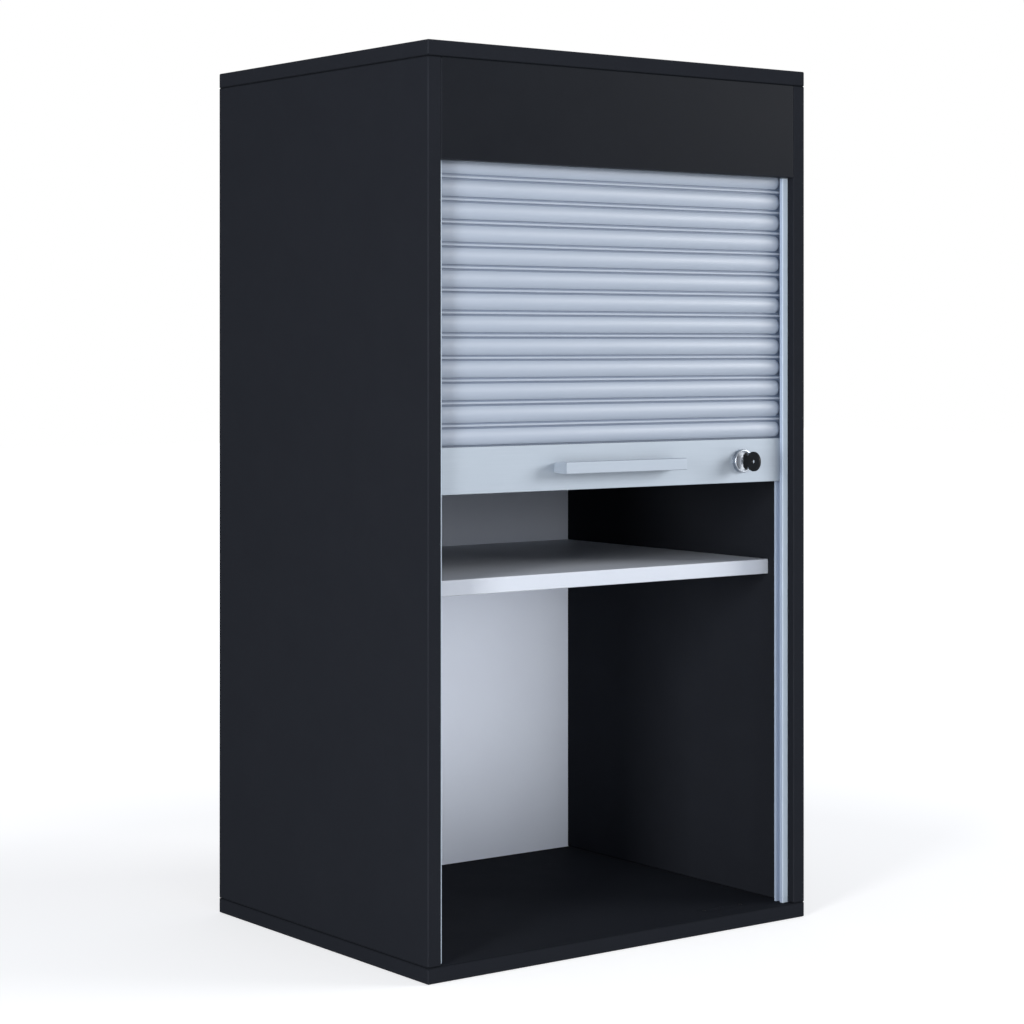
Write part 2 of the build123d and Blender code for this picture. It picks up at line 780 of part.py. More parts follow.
# Handle: a bridge whose posts narrow towards the bar
grip_gap = handle_reach - handle_bar
handle_front_y = front_y + curtain_setback - handle_reach
with BuildPart() as handle:
    with BuildSketch(Plane.XY.offset(bar_middle)) as handle_plan:
        with Locations((handle_offset, handle_front_y + handle_reach / 2)):
            Rectangle(handle_length, handle_reach)
        with Locations((handle_offset, handle_front_y + handle_bar + grip_gap)):
            RectangleRounded(
                handle_length - 2 * handle_post, 2 * grip_gap, handle_inner_round, mode=Mode.SUBTRACT
            )
    extrude(amount=handle_height / 2, both=True)
    fillet(handle.edges().filter_by(Axis.X).group_by(Axis.Y)[0], handle_round)
    # sloping undersides and tops of the posts
    with BuildSketch(Plane.YZ.offset(handle_offset - handle_length / 2 - overrun)):
        for side in (-1, 1):
            with BuildLine():
                Polyline(
                    (handle_front_y + handle_bar, bar_middle + side * handle_height / 2),
                    (handle_front_y + handle_reach, bar_middle + side * handle_height / 2),
                    (handle_front_y + handle_reach, bar_middle + side * handle_root_height / 2),
                    close=True,
                )
            make_face()
    extrude(amount=handle_length + 2 * overrun, mode=Mode.SUBTRACT)
    with BuildSketch(before_bar(0)):
        with Locations(*handle_screw_spots):
            Circle(handle_screw_diameter / 2 + screw_clearance)
    extrude(amount=handle_screw_depth + screw_clearance, mode=Mode.SUBTRACT)

with BuildPart() as handle_screws:
    with BuildSketch(before_bar(-bar_web)):
        with Locations(*handle_screw_spots):
            Circle(handle_screw_diameter / 2)
    extrude(amount=bar_web + handle_screw_depth)
    with BuildSketch(before_bar(-bar_web)):
        with Locations(*handle_screw_spots):
            Circle(handle_screw_head / 2)
    extrude(amount=-handle_screw_head_height)

# Lock: ring, housing and nut, then the plug with its hook
flange_front = ring_lip + flange_height
plug_front = flange_front - plug_face_recess
with BuildPart() as lock_ring:
    with BuildSketch(before_bar(0)):
        with Locations(lock_spot):
            Circle(ring_diameter / 2)
            Circle(barrel_diameter / 2 + lock_clearance, mode=Mode.SUBTRACT)
    extrude(amount=ring_height)
    with BuildSketch(before_bar(ring_lip)):
        with Locations(lock_spot):
            Circle(ring_bore / 2)
    extrude(amount=ring_height - ring_lip, mode=Mode.SUBTRACT)
    ring_edges = lock_ring.edges().filter_by(GeomType.CIRCLE).group_by(Axis.Y)[0]
    fillet(ring_edges.sort_by(SortBy.RADIUS)[-1], ring_round)
    ring_edges = lock_ring.edges().filter_by(GeomType.CIRCLE).group_by(Axis.Y)[0]
    fillet(ring_edges.sort_by(SortBy.RADIUS)[0], ring_bore_round)

with BuildPart() as lock_housing:
    with BuildSketch(before_bar(ring_lip)):
        with Locations(lock_spot):
            Circle(ring_bore / 2 - lock_clearance)
    extrude(amount=flange_height)
    with BuildSketch(before_bar(ring_lip)):
        with Locations(lock_spot):
            Circle(barrel_diameter / 2)
    extrude(amount=-ring_lip - barrel_length)
    with BuildSketch(before_bar(flange_front)):
        with Locations(lock_spot):
            Circle(plug_diameter / 2 + lock_clearance)
    extrude(amount=-flange_front - barrel_length, mode=Mode.SUBTRACT)

with BuildPart() as lock_nut:
    with BuildSketch(before_bar(-bar_web)):
        with Locations(lock_spot):
            RegularPolygon(nut_width / 2, 6, major_radius=False)
            Circle(barrel_diameter / 2 + lock_clearance, mode=Mode.SUBTRACT)
    extrude(amount=-nut_height)

with BuildPart() as lock_plug:
    with BuildSketch(before_bar(plug_front)):
        with Locations(lock_spot):
            Circle(plug_diameter / 2)
    extrude(amount=-plug_front - hook_front)
    with BuildSketch(before_bar(-hook_front)):
        with Locations(lock_spot):
            Rectangle(tenon_width, tenon_width)
    extrude(amount=-hook_thickness + lock_clearance)
    with BuildSketch(before_bar(plug_front)):
        with Locations(lock_spot):
            Rectangle(blade_thickness + 2 * blade_clearance, blade_width + 2 * blade_clearance)
    extrude(amount=-plug_front - blade_depth - blade_clearance, mode=Mode.SUBTRACT)
    with BuildSketch(before_bar(-hook_front - hook_thickness)):
        with Locations(lock_spot):
            Circle(hook_screw_diameter / 2 + screw_clearance)
    extrude(amount=hook_screw_depth + screw_clearance, mode=Mode.SUBTRACT)

# Hook bolt: a hub, an arm and a finger on the circle that it swings on
hook_plane = Plane(
    (lock_offset, front_y + curtain_setback + hook_front, bar_middle),
    x_dir=(1, 0, 0),
    z_dir=(0, -1, 0),
)
arm_turn = 180 - hook_sweep
arm_length = hook_reach - hook_band / 2
with BuildPart() as lock_hook:
    with BuildSketch(hook_plane):
        Circle(hook_reach)
        Circle(hook_inner, mode=Mode.SUBTRACT)
        with BuildLine():
            Polyline(
                (0, 0),
                (-2 * hook_reach, 0),
                (2 * hook_reach * cos(radians(arm_turn)), 2 * hook_reach * sin(radians(arm_turn))),
                close=True,
            )
        make_face(mode=Mode.INTERSECT)
        Circle(hook_hub / 2)
        arm_middle = (cos(radians(arm_turn)) * arm_length / 2, sin(radians(arm_turn)) * arm_length / 2)
        with Locations(arm_middle):
            Rectangle(arm_length, hook_arm, rotation=arm_turn)
        Rectangle(
            tenon_width + 2 * lock_clearance, tenon_width + 2 * lock_clearance, mode=Mode.SUBTRACT
        )
    extrude(amount=-hook_thickness)

with BuildPart() as hook_screw:
    with BuildSketch(before_bar(-hook_front - hook_thickness)):
        with Locations(lock_spot):
            Circle(hook_screw_head / 2)
    extrude(amount=-hook_screw_head_height)
    with BuildSketch(before_bar(-hook_front - hook_thickness)):
        with Locations(lock_spot):
            Circle(hook_screw_diameter / 2)
    extrude(amount=hook_screw_depth)

# Key
key_plane = Plane((lock_offset, front_y + curtain_setback, bar_middle), x_dir=(0, -1, 0), z_dir=(1, 0, 0))
with BuildPart() as key_blade:
    with BuildSketch(key_plane):
        with Locations(((bow_start + blade_tang - blade_depth) / 2, 0)):
            Rectangle(bow_start + blade_tang + blade_depth, blade_width)
    extrude(amount=blade_thickness / 2, both=True)
    chamfer(
        key_blade.edges().filter_by(Axis.X).group_by(Axis.Y)[-1], (blade_width - blade_thickness) / 2
    )

with BuildPart() as key_bow:
    with BuildSketch(key_plane):
        with Locations((bow_small_centre, 0)):
            Circle(bow_small_radius)
        with Locations((bow_large_centre, 0)):
            Circle(bow_large_radius)
        with Locations((bow_small_centre, bow_notch_height), (bow_small_centre, -bow_notch_height)):
            Circle(bow_notch_radius, mode=Mode.SUBTRACT)
        with Locations((bow_large_centre, 0)):
            Circle(bow_hole / 2, mode=Mode.SUBTRACT)
        with Locations((bow_start - bow_small_radius / 2, 0)):
            Rectangle(bow_small_radius, 2 * bow_small_radius, mode=Mode.SUBTRACT)
    extrude(amount=bow_thickness / 2, both=True)
    chamfer(key_bow.faces().filter_by(Axis.X).edges(), bow_bevel)
    with BuildSketch(key_plane):
        with Locations((bow_start + blade_tang / 2, 0)):
            Rectangle(blade_tang, blade_width)
    extrude(amount=blade_thickness / 2, both=True, mode=Mode.SUBTRACT)

pieces = {
    "top_panel": top_panel,
    "bottom_panel": bottom_panel,
    "left_side_panel": left_side_panel,
    "right_side_panel": right_side_panel,
    "back_panel": back_panel,
    "back_screws": back_screws,
    "carcass_dowels": carcass_dowels,
    "fascia_panel": fascia_panel,
    "fascia_dowels": fascia_dowels,
    "shelf": shelf,
    "shelf_pins": shelf_pins,
    "left_guide_rail": left_guide_rail,
    "right_guide_rail": right_guide_rail,
    "left_track_plate": left_track_plate,
    "right_track_plate": right_track_plate,
    "track_screws": track_screws,
    "storage_floor": storage_floor,
    "floor_screws": floor_screws,
    "strike_plate": strike_plate,
    "strike_screws": strike_screws,
    "slats_on_front_bend": slats_on_front_bend,
    "slats_on_top_run": slats_on_top_run,
    "slats_on_rear_bend": slats_on_rear_bend,
    "bottom_bar": bottom_bar,
    "left_bar_glide": left_bar_glide,
    "right_bar_glide": right_bar_glide,
    "handle": handle,
    "handle_screws": handle_screws,
    "lock_ring": lock_ring,
    "lock_housing": lock_housing,
    "lock_nut": lock_nut,
    "lock_plug": lock_plug,
    "lock_hook": lock_hook,
    "hook_screw": hook_screw,
    "key_blade": key_blade,
    "key_bow": key_bow,
    **slats,
}
for name, piece in pieces.items():
    piece.part.label = name
    export_step(piece.part, f"parts/{name}.step")
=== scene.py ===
"""The looks of an office cabinet with a tambour shutter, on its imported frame.

Black melamine-faced boards make the carcass. A curtain of silver slats hangs in two
aluminium rails and ends in a flat bar with a bridge handle and a cylinder lock.
Everything is in metres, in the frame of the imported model: +X right, +Y back, +Z up.
"""

from __future__ import annotations

import json
import logging
import math
from collections.abc import Callable, Sequence
from dataclasses import dataclass
from enum import Enum
from functools import partial
from typing import Any

import bpy
import numpy as np
from bpy.types import Material, Node, NodeSocket, NodeTree, Object
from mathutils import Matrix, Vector

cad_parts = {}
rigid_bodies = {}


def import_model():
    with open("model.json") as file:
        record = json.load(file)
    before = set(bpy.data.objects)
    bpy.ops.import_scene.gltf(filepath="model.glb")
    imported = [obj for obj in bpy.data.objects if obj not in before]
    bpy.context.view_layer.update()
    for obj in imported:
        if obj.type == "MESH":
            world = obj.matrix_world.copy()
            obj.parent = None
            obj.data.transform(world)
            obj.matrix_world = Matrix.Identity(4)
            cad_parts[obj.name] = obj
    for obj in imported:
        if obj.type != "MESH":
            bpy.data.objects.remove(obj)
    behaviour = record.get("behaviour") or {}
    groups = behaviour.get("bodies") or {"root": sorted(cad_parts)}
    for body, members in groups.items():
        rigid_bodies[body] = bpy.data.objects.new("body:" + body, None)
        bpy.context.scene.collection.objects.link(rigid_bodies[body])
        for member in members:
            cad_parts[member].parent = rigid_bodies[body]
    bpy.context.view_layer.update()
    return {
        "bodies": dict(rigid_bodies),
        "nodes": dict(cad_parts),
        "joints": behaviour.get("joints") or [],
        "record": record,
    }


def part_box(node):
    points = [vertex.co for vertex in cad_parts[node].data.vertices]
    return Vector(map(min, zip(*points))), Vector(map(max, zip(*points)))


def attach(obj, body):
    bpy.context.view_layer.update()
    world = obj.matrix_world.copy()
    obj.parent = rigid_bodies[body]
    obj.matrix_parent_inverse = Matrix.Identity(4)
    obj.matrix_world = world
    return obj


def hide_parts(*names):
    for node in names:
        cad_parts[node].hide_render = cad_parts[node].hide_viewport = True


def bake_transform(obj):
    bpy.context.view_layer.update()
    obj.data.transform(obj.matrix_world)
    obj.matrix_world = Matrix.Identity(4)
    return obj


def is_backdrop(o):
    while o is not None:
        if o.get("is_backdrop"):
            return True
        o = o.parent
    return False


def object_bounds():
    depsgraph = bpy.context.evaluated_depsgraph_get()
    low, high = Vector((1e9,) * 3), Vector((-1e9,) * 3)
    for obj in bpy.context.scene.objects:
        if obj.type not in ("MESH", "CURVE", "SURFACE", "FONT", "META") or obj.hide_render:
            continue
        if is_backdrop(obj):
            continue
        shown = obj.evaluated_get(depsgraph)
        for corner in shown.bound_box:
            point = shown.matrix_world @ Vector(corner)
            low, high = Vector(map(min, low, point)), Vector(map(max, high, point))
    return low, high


LOG = logging.getLogger("cabinet")
MM = 0.001
FRAME: dict[str, Any] = {}
Point = tuple[float, float, float]
AddNode = Callable[..., Node]  # adds a node to one tree, as add_node does
COLOUR_A, COLOUR_B = 6, 7  # the colour inputs of a Mix node, which have its other inputs' names


class Kind(Enum):
    """The kinds of node that the finishes, the relief and the studio are made of.

    A RANGE takes a value, the two limits it lies between and the two they turn into.
    """

    PRINCIPLED = "ShaderNodeBsdfPrincipled"
    MATERIAL_OUTPUT = "ShaderNodeOutputMaterial"
    BACKGROUND = "ShaderNodeBackground"
    WORLD_OUTPUT = "ShaderNodeOutputWorld"
    LIGHT_PATH = "ShaderNodeLightPath"
    COORDINATE = "ShaderNodeTexCoord"
    MAPPING = "ShaderNodeMapping"
    NOISE = "ShaderNodeTexNoise"
    CELLS = "ShaderNodeTexVoronoi"
    ATTRIBUTE = "ShaderNodeAttribute"
    RANGE = "ShaderNodeMapRange"
    MIX = "ShaderNodeMix"
    MATH = "ShaderNodeMath"
    VECTOR = "ShaderNodeVectorMath"
    SPLIT = "ShaderNodeSeparateXYZ"
    JOIN = "ShaderNodeCombineXYZ"
    CURVE = "ShaderNodeFloatCurve"
    BUMP = "ShaderNodeBump"
    GROUP_INPUT = "NodeGroupInput"
    GROUP_OUTPUT = "NodeGroupOutput"
    POSITION = "GeometryNodeInputPosition"
    STATISTIC = "GeometryNodeAttributeStatistic"
    READ_ATTRIBUTE = "GeometryNodeInputNamedAttribute"
    STORE_ATTRIBUTE = "GeometryNodeStoreNamedAttribute"
    SET_POSITION = "GeometryNodeSetPosition"


class Facing(Enum):
    """The direction that a screw's head faces."""

    BACK = (0.0, 1.0, 0.0)
    DOWN = (0.0, 0.0, -1.0)
    UP = (0.0, 0.0, 1.0)


def linear(hex_colour: str) -> tuple[float, float, float, float]:
    """Turns an sRGB hex colour into linear light.

    Args:
        hex_colour: six hex digits, with or without a leading hash.

    Returns:
        Red, green, blue and an alpha of one.
    """
    digits = hex_colour.lstrip("#")
    parts = [int(digits[k : k + 2], 16) / 255 for k in (0, 2, 4)]
    low = [c / 12.92 if c <= 0.04045 else ((c + 0.055) / 1.055) ** 2.4 for c in parts]
    return low[0], low[1], low[2], 1.0


def add_node(
    tree: NodeTree, kind: Kind, inputs: dict[str | int, Any] | Sequence[Any] = (), **settings: Any
) -> Node:
    """Adds one node to a tree, with its settings and its inputs.

    Args:
        tree: the node tree.
        kind: the node's kind.
        inputs: what goes into the node, by the input's name or number, or in a list from
            the first input on. Each is a value, a hex colour, a socket, or a node, which
            stands for the first of its outputs that is in use.
        **settings: properties of the node itself.

    Returns:
        The new node.
    """
    node = tree.nodes.new(kind.value)
    for name, value in settings.items():
        setattr(node, name, value)
    for key, value in inputs.items() if isinstance(inputs, dict) else enumerate(inputs):
        if isinstance(value, Node):
            value = next(output for output in value.outputs if output.enabled)
        if isinstance(value, NodeSocket):
            tree.links.new(value, node.inputs[key])
        else:
            is_hex = isinstance(value, str) and value.startswith("#")
            node.inputs[key].default_value = linear(value) if is_hex else value
    return node


def new_material(name: str) -> tuple[Material, AddNode, NodeSocket]:
    """Makes a material whose tree holds nothing yet but the Object coordinates.

    Args:
        name: the material's name.

    Returns:
        The material, what adds a node to its tree, and the coordinates.
    """
    material = bpy.data.materials.new(name)
    material.use_nodes = True
    material.node_tree.nodes.clear()
    add = partial(add_node, material.node_tree)
    return material, add, add(Kind.COORDINATE).outputs["Object"]


def new_piece(
    name: str,
    points: np.ndarray,
    faces: np.ndarray,
    finish: Material,
    smooth: np.ndarray | bool = False,
) -> Object:
    """Makes a mesh object at the origin from points and quads.

    Args:
        name: the piece's name.
        points: one row of x, y, z for each point, in metres.
        faces: one row of four point numbers for each quad.
        finish: the piece's material.
        smooth: for all faces, or for each.

    Returns:
        The object, linked to the scene.
    """
    mesh = bpy.data.meshes.new(name)
    mesh.from_pydata(points.reshape(-1, 3).tolist(), [], faces.tolist())
    shade = np.broadcast_to(np.asarray(smooth, bool), len(mesh.polygons))
    mesh.polygons.foreach_set("use_smooth", np.ascontiguousarray(shade))
    mesh.update()
    mesh.materials.append(finish)
    piece = bpy.data.objects.new(name, mesh)
    bpy.context.scene.collection.objects.link(piece)
    LOG.info("%s is made of %d faces, with the finish %s", name, len(faces), finish.name)
    return piece


def grid_faces(rows: int, columns: int, close: bool = False) -> np.ndarray:
    """Quads of a grid of points, numbered row by row.

    Args:
        rows: how many rows of points there are.
        columns: how many points a row has.
        close: whether each row's last point joins its first.

    Returns:
        One row of four point numbers for each quad.
    """
    number = np.arange(rows * columns).reshape(rows, columns)
    if close:
        number = np.hstack([number, number[:, :1]])
    corners = number[:-1, :-1], number[:-1, 1:], number[1:, 1:], number[1:, :-1]
    return np.stack(corners, -1).reshape(-1, 4)


def cap_faces(count: int) -> np.ndarray:
    """Quads that close a ring of points, each between two points and their partners.

    Args:
        count: how many points the ring has, an even number.

    Returns:
        One row of four point numbers for each quad, turned like the ring.
    """
    near = np.arange(count // 2 - 1)
    return np.stack([near, near + 1, count - 2 - near, count - 1 - near], -1)


def dress(material: Material, *nodes: str) -> None:
    """Gives CAD nodes a finish.

    Args:
        material: the finish.
        *nodes: the nodes' names.
    """
    for name in nodes:
        for slot in FRAME["nodes"][name].material_slots:
            slot.material = material
        LOG.info("%s has the finish %s", name, material.name)


@dataclass(frozen=True)
class FacedBoard:
    """Melamine-faced particle board with banded edges.

    The press plate leaves a fine pearl grain on the faces, which breaks up the
    highlights. The edges are rounded, so that a narrow groove lies where the sides
    and the fascia meet the top and the bottom. Along the arrises the colour is lighter,
    for handling wear and as a painted highlight, and in the joint grooves it is
    darker, as painted shade.
    """

    name: str
    face: str
    fleck: str
    # The worn colour lightens the arrises, for wear and as a painted highlight. The joint colour is
    # painted shade in the joint grooves.
    worn_and_highlight: str
    joint: str
    roughness: float
    specular: float
    spread: float = 0.05  # of the roughness
    grain_mm: float = 1.1  # the real grain is about 0.5 mm, drawn coarser so that it shows
    grain_height_mm: float = 0.02
    cloud_mm: float = 45.0
    rub_mm: float = 60.0
    # How far the lighter arrises reach: handling wear with a painted highlight.
    wear_and_highlight_from_mm: float = 1.3
    wear_and_highlight_full_mm: float = 0.2
    wear_and_highlight_share: float = 0.9
    # How far the painted joint shade reaches.
    joint_from_mm: float = 1.8
    joint_full_mm: float = 0.6

    def arris(self, add: AddNode, place: NodeSocket, board: str) -> Node:
        """Adds the nodes that measure how far a point is from the nearest arris.

        The depth under each of the three pairs of faces is half the board's size less
        the distance from its middle. The middle one of the three depths is near zero
        only along the arrises.

        Args:
            add: adds a node to the finish's tree.
            place: the Object coordinates.
            board: the board's CAD node, whose box places the arrises.

        Returns:
            The node that gives the distance.
        """
        low, high = (np.array(corner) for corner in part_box(board))
        centre, half = tuple((low + high) / 2), tuple((high - low) / 2)
        centred = add(Kind.VECTOR, [place, centre], operation="SUBTRACT")
        spread = add(Kind.VECTOR, [centred], operation="ABSOLUTE")
        depth = add(Kind.VECTOR, [half, spread], operation="SUBTRACT")
        x, y, z = add(Kind.SPLIT, [depth]).outputs
        near = add(Kind.MATH, [x, y], operation="MINIMUM")
        far = add(Kind.MATH, [x, y], operation="MAXIMUM")
        capped = add(Kind.MATH, [far, z], operation="MINIMUM")
        return add(Kind.MATH, [near, capped], operation="MAXIMUM")

    def joint_shadow(self, add: AddNode, place: NodeSocket, arris: Node) -> Node:
        """Adds the nodes that find the grooves at the carcass joints, for painted shade.

        A joint is where the distance from the carcass's middle height is half of its
        clear height.

        Args:
            add: adds a node to the finish's tree.
            place: the Object coordinates.
            arris: the node that gives the distance from the nearest arris.

        Returns:
            The node that gives one in a groove, and zero away from it.
        """
        floor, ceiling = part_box("bottom_panel")[1][2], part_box("top_panel")[0][2]
        middle, half, reach = (floor + ceiling) / 2, (ceiling - floor) / 2, self.joint_from_mm * MM
        height = add(Kind.SPLIT, [place]).outputs["Z"]
        rise = add(Kind.MATH, [height, middle], operation="SUBTRACT")
        away = add(Kind.MATH, [rise], operation="ABSOLUTE")
        level = add(Kind.MATH, [away, half, reach], operation="COMPARE")
        groove = add(Kind.RANGE, [arris, reach, self.joint_full_mm * MM])
        return add(Kind.MATH, [groove, level], operation="MULTIPLY")

    def material(self, board: str) -> Material:
        """Builds the finish for one board.

        Handling wear and a painted highlight leave the colour a little lighter along the
        arrises. In the grooves at the carcass joints painted shade makes it dark instead.

        Args:
            board: the board's CAD node.

        Returns:
            The material.
        """
        material, add, place = new_material(f"{self.name}_{board}")
        arris = self.arris(add, place, board)
        rub = add(
            Kind.NOISE, {"Vector": place, "Scale": 1 / (self.rub_mm * MM), "Detail": 3.0, "Roughness": 0.6}
        )
        # Lighter along the arrises: handling wear and a painted highlight.
        wear_and_highlight = add(
            Kind.RANGE, [arris, self.wear_and_highlight_from_mm * MM, self.wear_and_highlight_full_mm * MM, 0.0, self.wear_and_highlight_share]
        )
        rubbed_and_highlight = add(Kind.MATH, [wear_and_highlight, rub], operation="MULTIPLY")
        # Painted shade in the grooves at the carcass joints.
        shadow = self.joint_shadow(add, place, arris)
        grain = add(
            Kind.CELLS,
            {"Vector": place, "Scale": 1 / (self.grain_mm * MM), "Smoothness": 0.6},
            feature="SMOOTH_F1",
        )
        cloud = add(
            Kind.NOISE,
            {"Vector": place, "Scale": 1 / (self.cloud_mm * MM), "Detail": 5.0, "Roughness": 0.55},
        )
        mottle = add(Kind.MATH, [cloud, grain], operation="MULTIPLY")
        colour: str | Node = self.face
        for share, tint in ((mottle, self.fleck), (rubbed_and_highlight, self.worn_and_highlight), (shadow, self.joint)):
            colour = add(Kind.MIX, {0: share, COLOUR_A: colour, COLOUR_B: tint}, data_type="RGBA")
        rough = add(
            Kind.RANGE, [cloud, 0.25, 0.75, self.roughness - self.spread, self.roughness + self.spread]
        )
        pearl = add(
            Kind.BUMP, {"Strength": 0.5, "Distance": self.grain_height_mm * MM, "Height": grain}
        )
        shader = add(
            Kind.PRINCIPLED,
            {
                "Base Color": colour,
                "Roughness": rough,
                "Specular IOR Level": self.specular,
                "Normal": pearl,
            },
        )
        add(Kind.MATERIAL_OUTPUT, [shader])
        return material


@dataclass(frozen=True)
class Fibreboard:
    """Hardboard with a lacquered inner face and a raw, screen-marked outer face.

    The lacquer is pale and even. The raw side is brown, with short matted fibres and
    the square mesh of the press screen.
    """

    name: str
    lacquer: str
    lacquer_dark: str
    raw: str
    raw_dark: str
    raw_from_y: float
    lacquer_roughness: float = 0.5
    raw_roughness: float = 0.85
    specular: float = 0.3
    cloud_mm: float = 70.0
    screen_mm: float = 2.2
    fibre_mm: float = 5.0
    relief_mm: float = 0.06

    def material(self) -> Material:
        """Builds the finish: lacquer before the plane raw_from_y, raw board behind it.

        The screen's mesh is the product of two sines, one across and one up.

        Returns:
            The material.
        """
        material, add, place = new_material(self.name)
        x, y, z = add(Kind.SPLIT, [place]).outputs
        outside = add(Kind.MATH, [y, self.raw_from_y], operation="GREATER_THAN")
        cloud = add(Kind.NOISE, {"Vector": place, "Scale": 1 / (self.cloud_mm * MM), "Detail": 4.0})
        lacquer = add(
            Kind.MIX, {0: cloud, COLOUR_A: self.lacquer, COLOUR_B: self.lacquer_dark}, data_type="RGBA"
        )
        fibre = add(
            Kind.NOISE,
            {
                "Vector": place,
                "Scale": 1 / (self.fibre_mm * MM),
                "Detail": 6.0,
                "Roughness": 0.7,
                "Distortion": 1.2,
            },
        )
        raw = add(Kind.MIX, {0: fibre, COLOUR_A: self.raw, COLOUR_B: self.raw_dark}, data_type="RGBA")
        colour = add(Kind.MIX, {0: outside, COLOUR_A: lacquer, COLOUR_B: raw}, data_type="RGBA")
        wave = 2 * math.pi / (self.screen_mm * MM)
        across = add(Kind.MATH, [x, wave], operation="MULTIPLY")
        along = add(Kind.MATH, [z, wave], operation="MULTIPLY")
        warp = add(Kind.MATH, [across], operation="SINE")
        weft = add(Kind.MATH, [along], operation="SINE")
        screen = add(Kind.MATH, [warp, weft], operation="MULTIPLY")
        marked = add(Kind.MATH, [screen, outside], operation="MULTIPLY")
        height = add(Kind.MATH, [fibre, marked], operation="ADD")
        relief = add(Kind.BUMP, {"Strength": 0.3, "Distance": self.relief_mm * MM, "Height": height})
        rough = add(Kind.RANGE, [outside, 0.0, 1.0, self.lacquer_roughness, self.raw_roughness])
        shader = add(
            Kind.PRINCIPLED,
            {
                "Base Color": colour,
                "Roughness": rough,
                "Specular IOR Level": self.specular,
                "Normal": relief,
            },
        )
        add(Kind.MATERIAL_OUTPUT, [shader])
        return material


@dataclass(frozen=True)
class DrawnMetal:
    """A drawn or rolled metal with fine lines along one axis.

    Extrusion and brushing leave parallel hairlines, which the anodising keeps, so the
    highlight spreads across the lines and the tone shifts a little from line to line.
    """

    name: str
    bright: str
    dull: str
    metallic: float
    roughness: float
    line_mm: float = 0.5  # real lines are about 0.1 mm, drawn coarser so that they show
    line_length_mm: float = 90.0
    along: int = 0
    specular: float = 0.5
    # Painted shade for the grooves and recesses.
    recess: str = "#000000"
    spread: float = 0.06  # of the roughness
    cloud_mm: float = 80.0
    relief_mm: float = 0.01

    def material(self, recess_shade_from_y: float | None = None) -> Material:
        """Builds the finish, with the pattern stretched along the axis of the lines.

        Args:
            recess_shade_from_y: the plane behind which the recess colour, painted shade,
            begins. Without it the surface's own groove attribute says where that colour is.

        Returns:
            The material.
        """
        material, add, place = new_material(self.name)
        scale = [1 / (self.line_mm * MM)] * 3
        scale[self.along] = 1 / (self.line_length_mm * MM)
        stretched = add(Kind.MAPPING, {"Vector": place, "Scale": tuple(scale)})
        lines = add(Kind.NOISE, {"Vector": stretched, "Scale": 1.0, "Detail": 3.0, "Roughness": 0.6})
        cloud = add(Kind.NOISE, {"Vector": place, "Scale": 1 / (self.cloud_mm * MM), "Detail": 3.0})
        tone = add(Kind.MATH, [lines, cloud], operation="MULTIPLY")
        face = add(Kind.MIX, {0: tone, COLOUR_A: self.bright, COLOUR_B: self.dull}, data_type="RGBA")
        # The recess colour is painted shade: in the slats' grooves, or in a rail behind its front.
        if recess_shade_from_y is None:
            in_recess_shade = add(Kind.ATTRIBUTE, attribute_name="groove").outputs["Fac"]
        else:
            depth = add(Kind.SPLIT, [place]).outputs["Y"]
            in_recess_shade = add(Kind.MATH, [depth, recess_shade_from_y], operation="GREATER_THAN")
        colour = add(Kind.MIX, {0: in_recess_shade, COLOUR_A: face, COLOUR_B: self.recess}, data_type="RGBA")
        rough = add(
            Kind.RANGE, [lines, 0.2, 0.8, self.roughness - self.spread, self.roughness + self.spread]
        )
        relief = add(Kind.BUMP, {"Strength": 0.12, "Distance": self.relief_mm * MM, "Height": lines})
        shader = add(
            Kind.PRINCIPLED,
            {
                "Base Color": colour,
                "Metallic": self.metallic,
                "Roughness": rough,
                "Specular IOR Level": self.specular,
                "Normal": relief,
            },
        )
        add(Kind.MATERIAL_OUTPUT, [shader])
        return material


@dataclass(frozen=True)
class Moulded:
    """Moulded ABS with a spark-eroded grain from its tool, which dulls the gloss."""

    name: str
    body: str
    shade: str
    roughness: float
    specular: float = 0.5
    grain_mm: float = 0.7  # the real grain is about 0.2 mm, drawn coarser so that it shows
    spread: float = 0.07  # of the roughness
    relief_mm: float = 0.02

    def material(self) -> Material:
        """Builds the finish: a fine even grain that dulls the gloss in spots.

        Returns:
            The material.
        """
        material, add, place = new_material(self.name)
        grain = add(
            Kind.NOISE,
            {"Vector": place, "Scale": 1 / (self.grain_mm * MM), "Detail": 2.0, "Roughness": 0.5},
        )
        colour = add(Kind.MIX, {0: grain, COLOUR_A: self.body, COLOUR_B: self.shade}, data_type="RGBA")
        rough = add(
            Kind.RANGE, [grain, 0.3, 0.7, self.roughness - self.spread, self.roughness + self.spread]
        )
        relief = add(Kind.BUMP, {"Strength": 0.25, "Distance": self.relief_mm * MM, "Height": grain})
        shader = add(
            Kind.PRINCIPLED,
            {
                "Base Color": colour,
                "Roughness": rough,
                "Specular IOR Level": self.specular,
                "Normal": relief,
            },
        )
        add(Kind.MATERIAL_OUTPUT, [shader])
        return material


@dataclass(frozen=True)
class Plated:
    """A plated metal: a satin mirror for chrome, a cloudy grey for zinc."""

    name: str
    bright: str
    cloudy: str
    roughness: float
    spread: float  # of the roughness
    cloud_mm: float = 3.0

    def material(self) -> Material:
        """Builds the finish: crystals of the plating cloud the tone and the gloss.

        Returns:
            The material.
        """
        material, add, place = new_material(self.name)
        cloud = add(
            Kind.NOISE,
            {"Vector": place, "Scale": 1 / (self.cloud_mm * MM), "Detail": 5.0, "Roughness": 0.6},
        )
        colour = add(
            Kind.MIX, {0: cloud, COLOUR_A: self.bright, COLOUR_B: self.cloudy}, data_type="RGBA"
        )
        rough = add(Kind.RANGE, [cloud, 0.3, 0.7, self.roughness, self.roughness + self.spread])
        shader = add(Kind.PRINCIPLED, {"Base Color": colour, "Metallic": 1.0, "Roughness": rough})
        add(Kind.MATERIAL_OUTPUT, [shader])
        return material


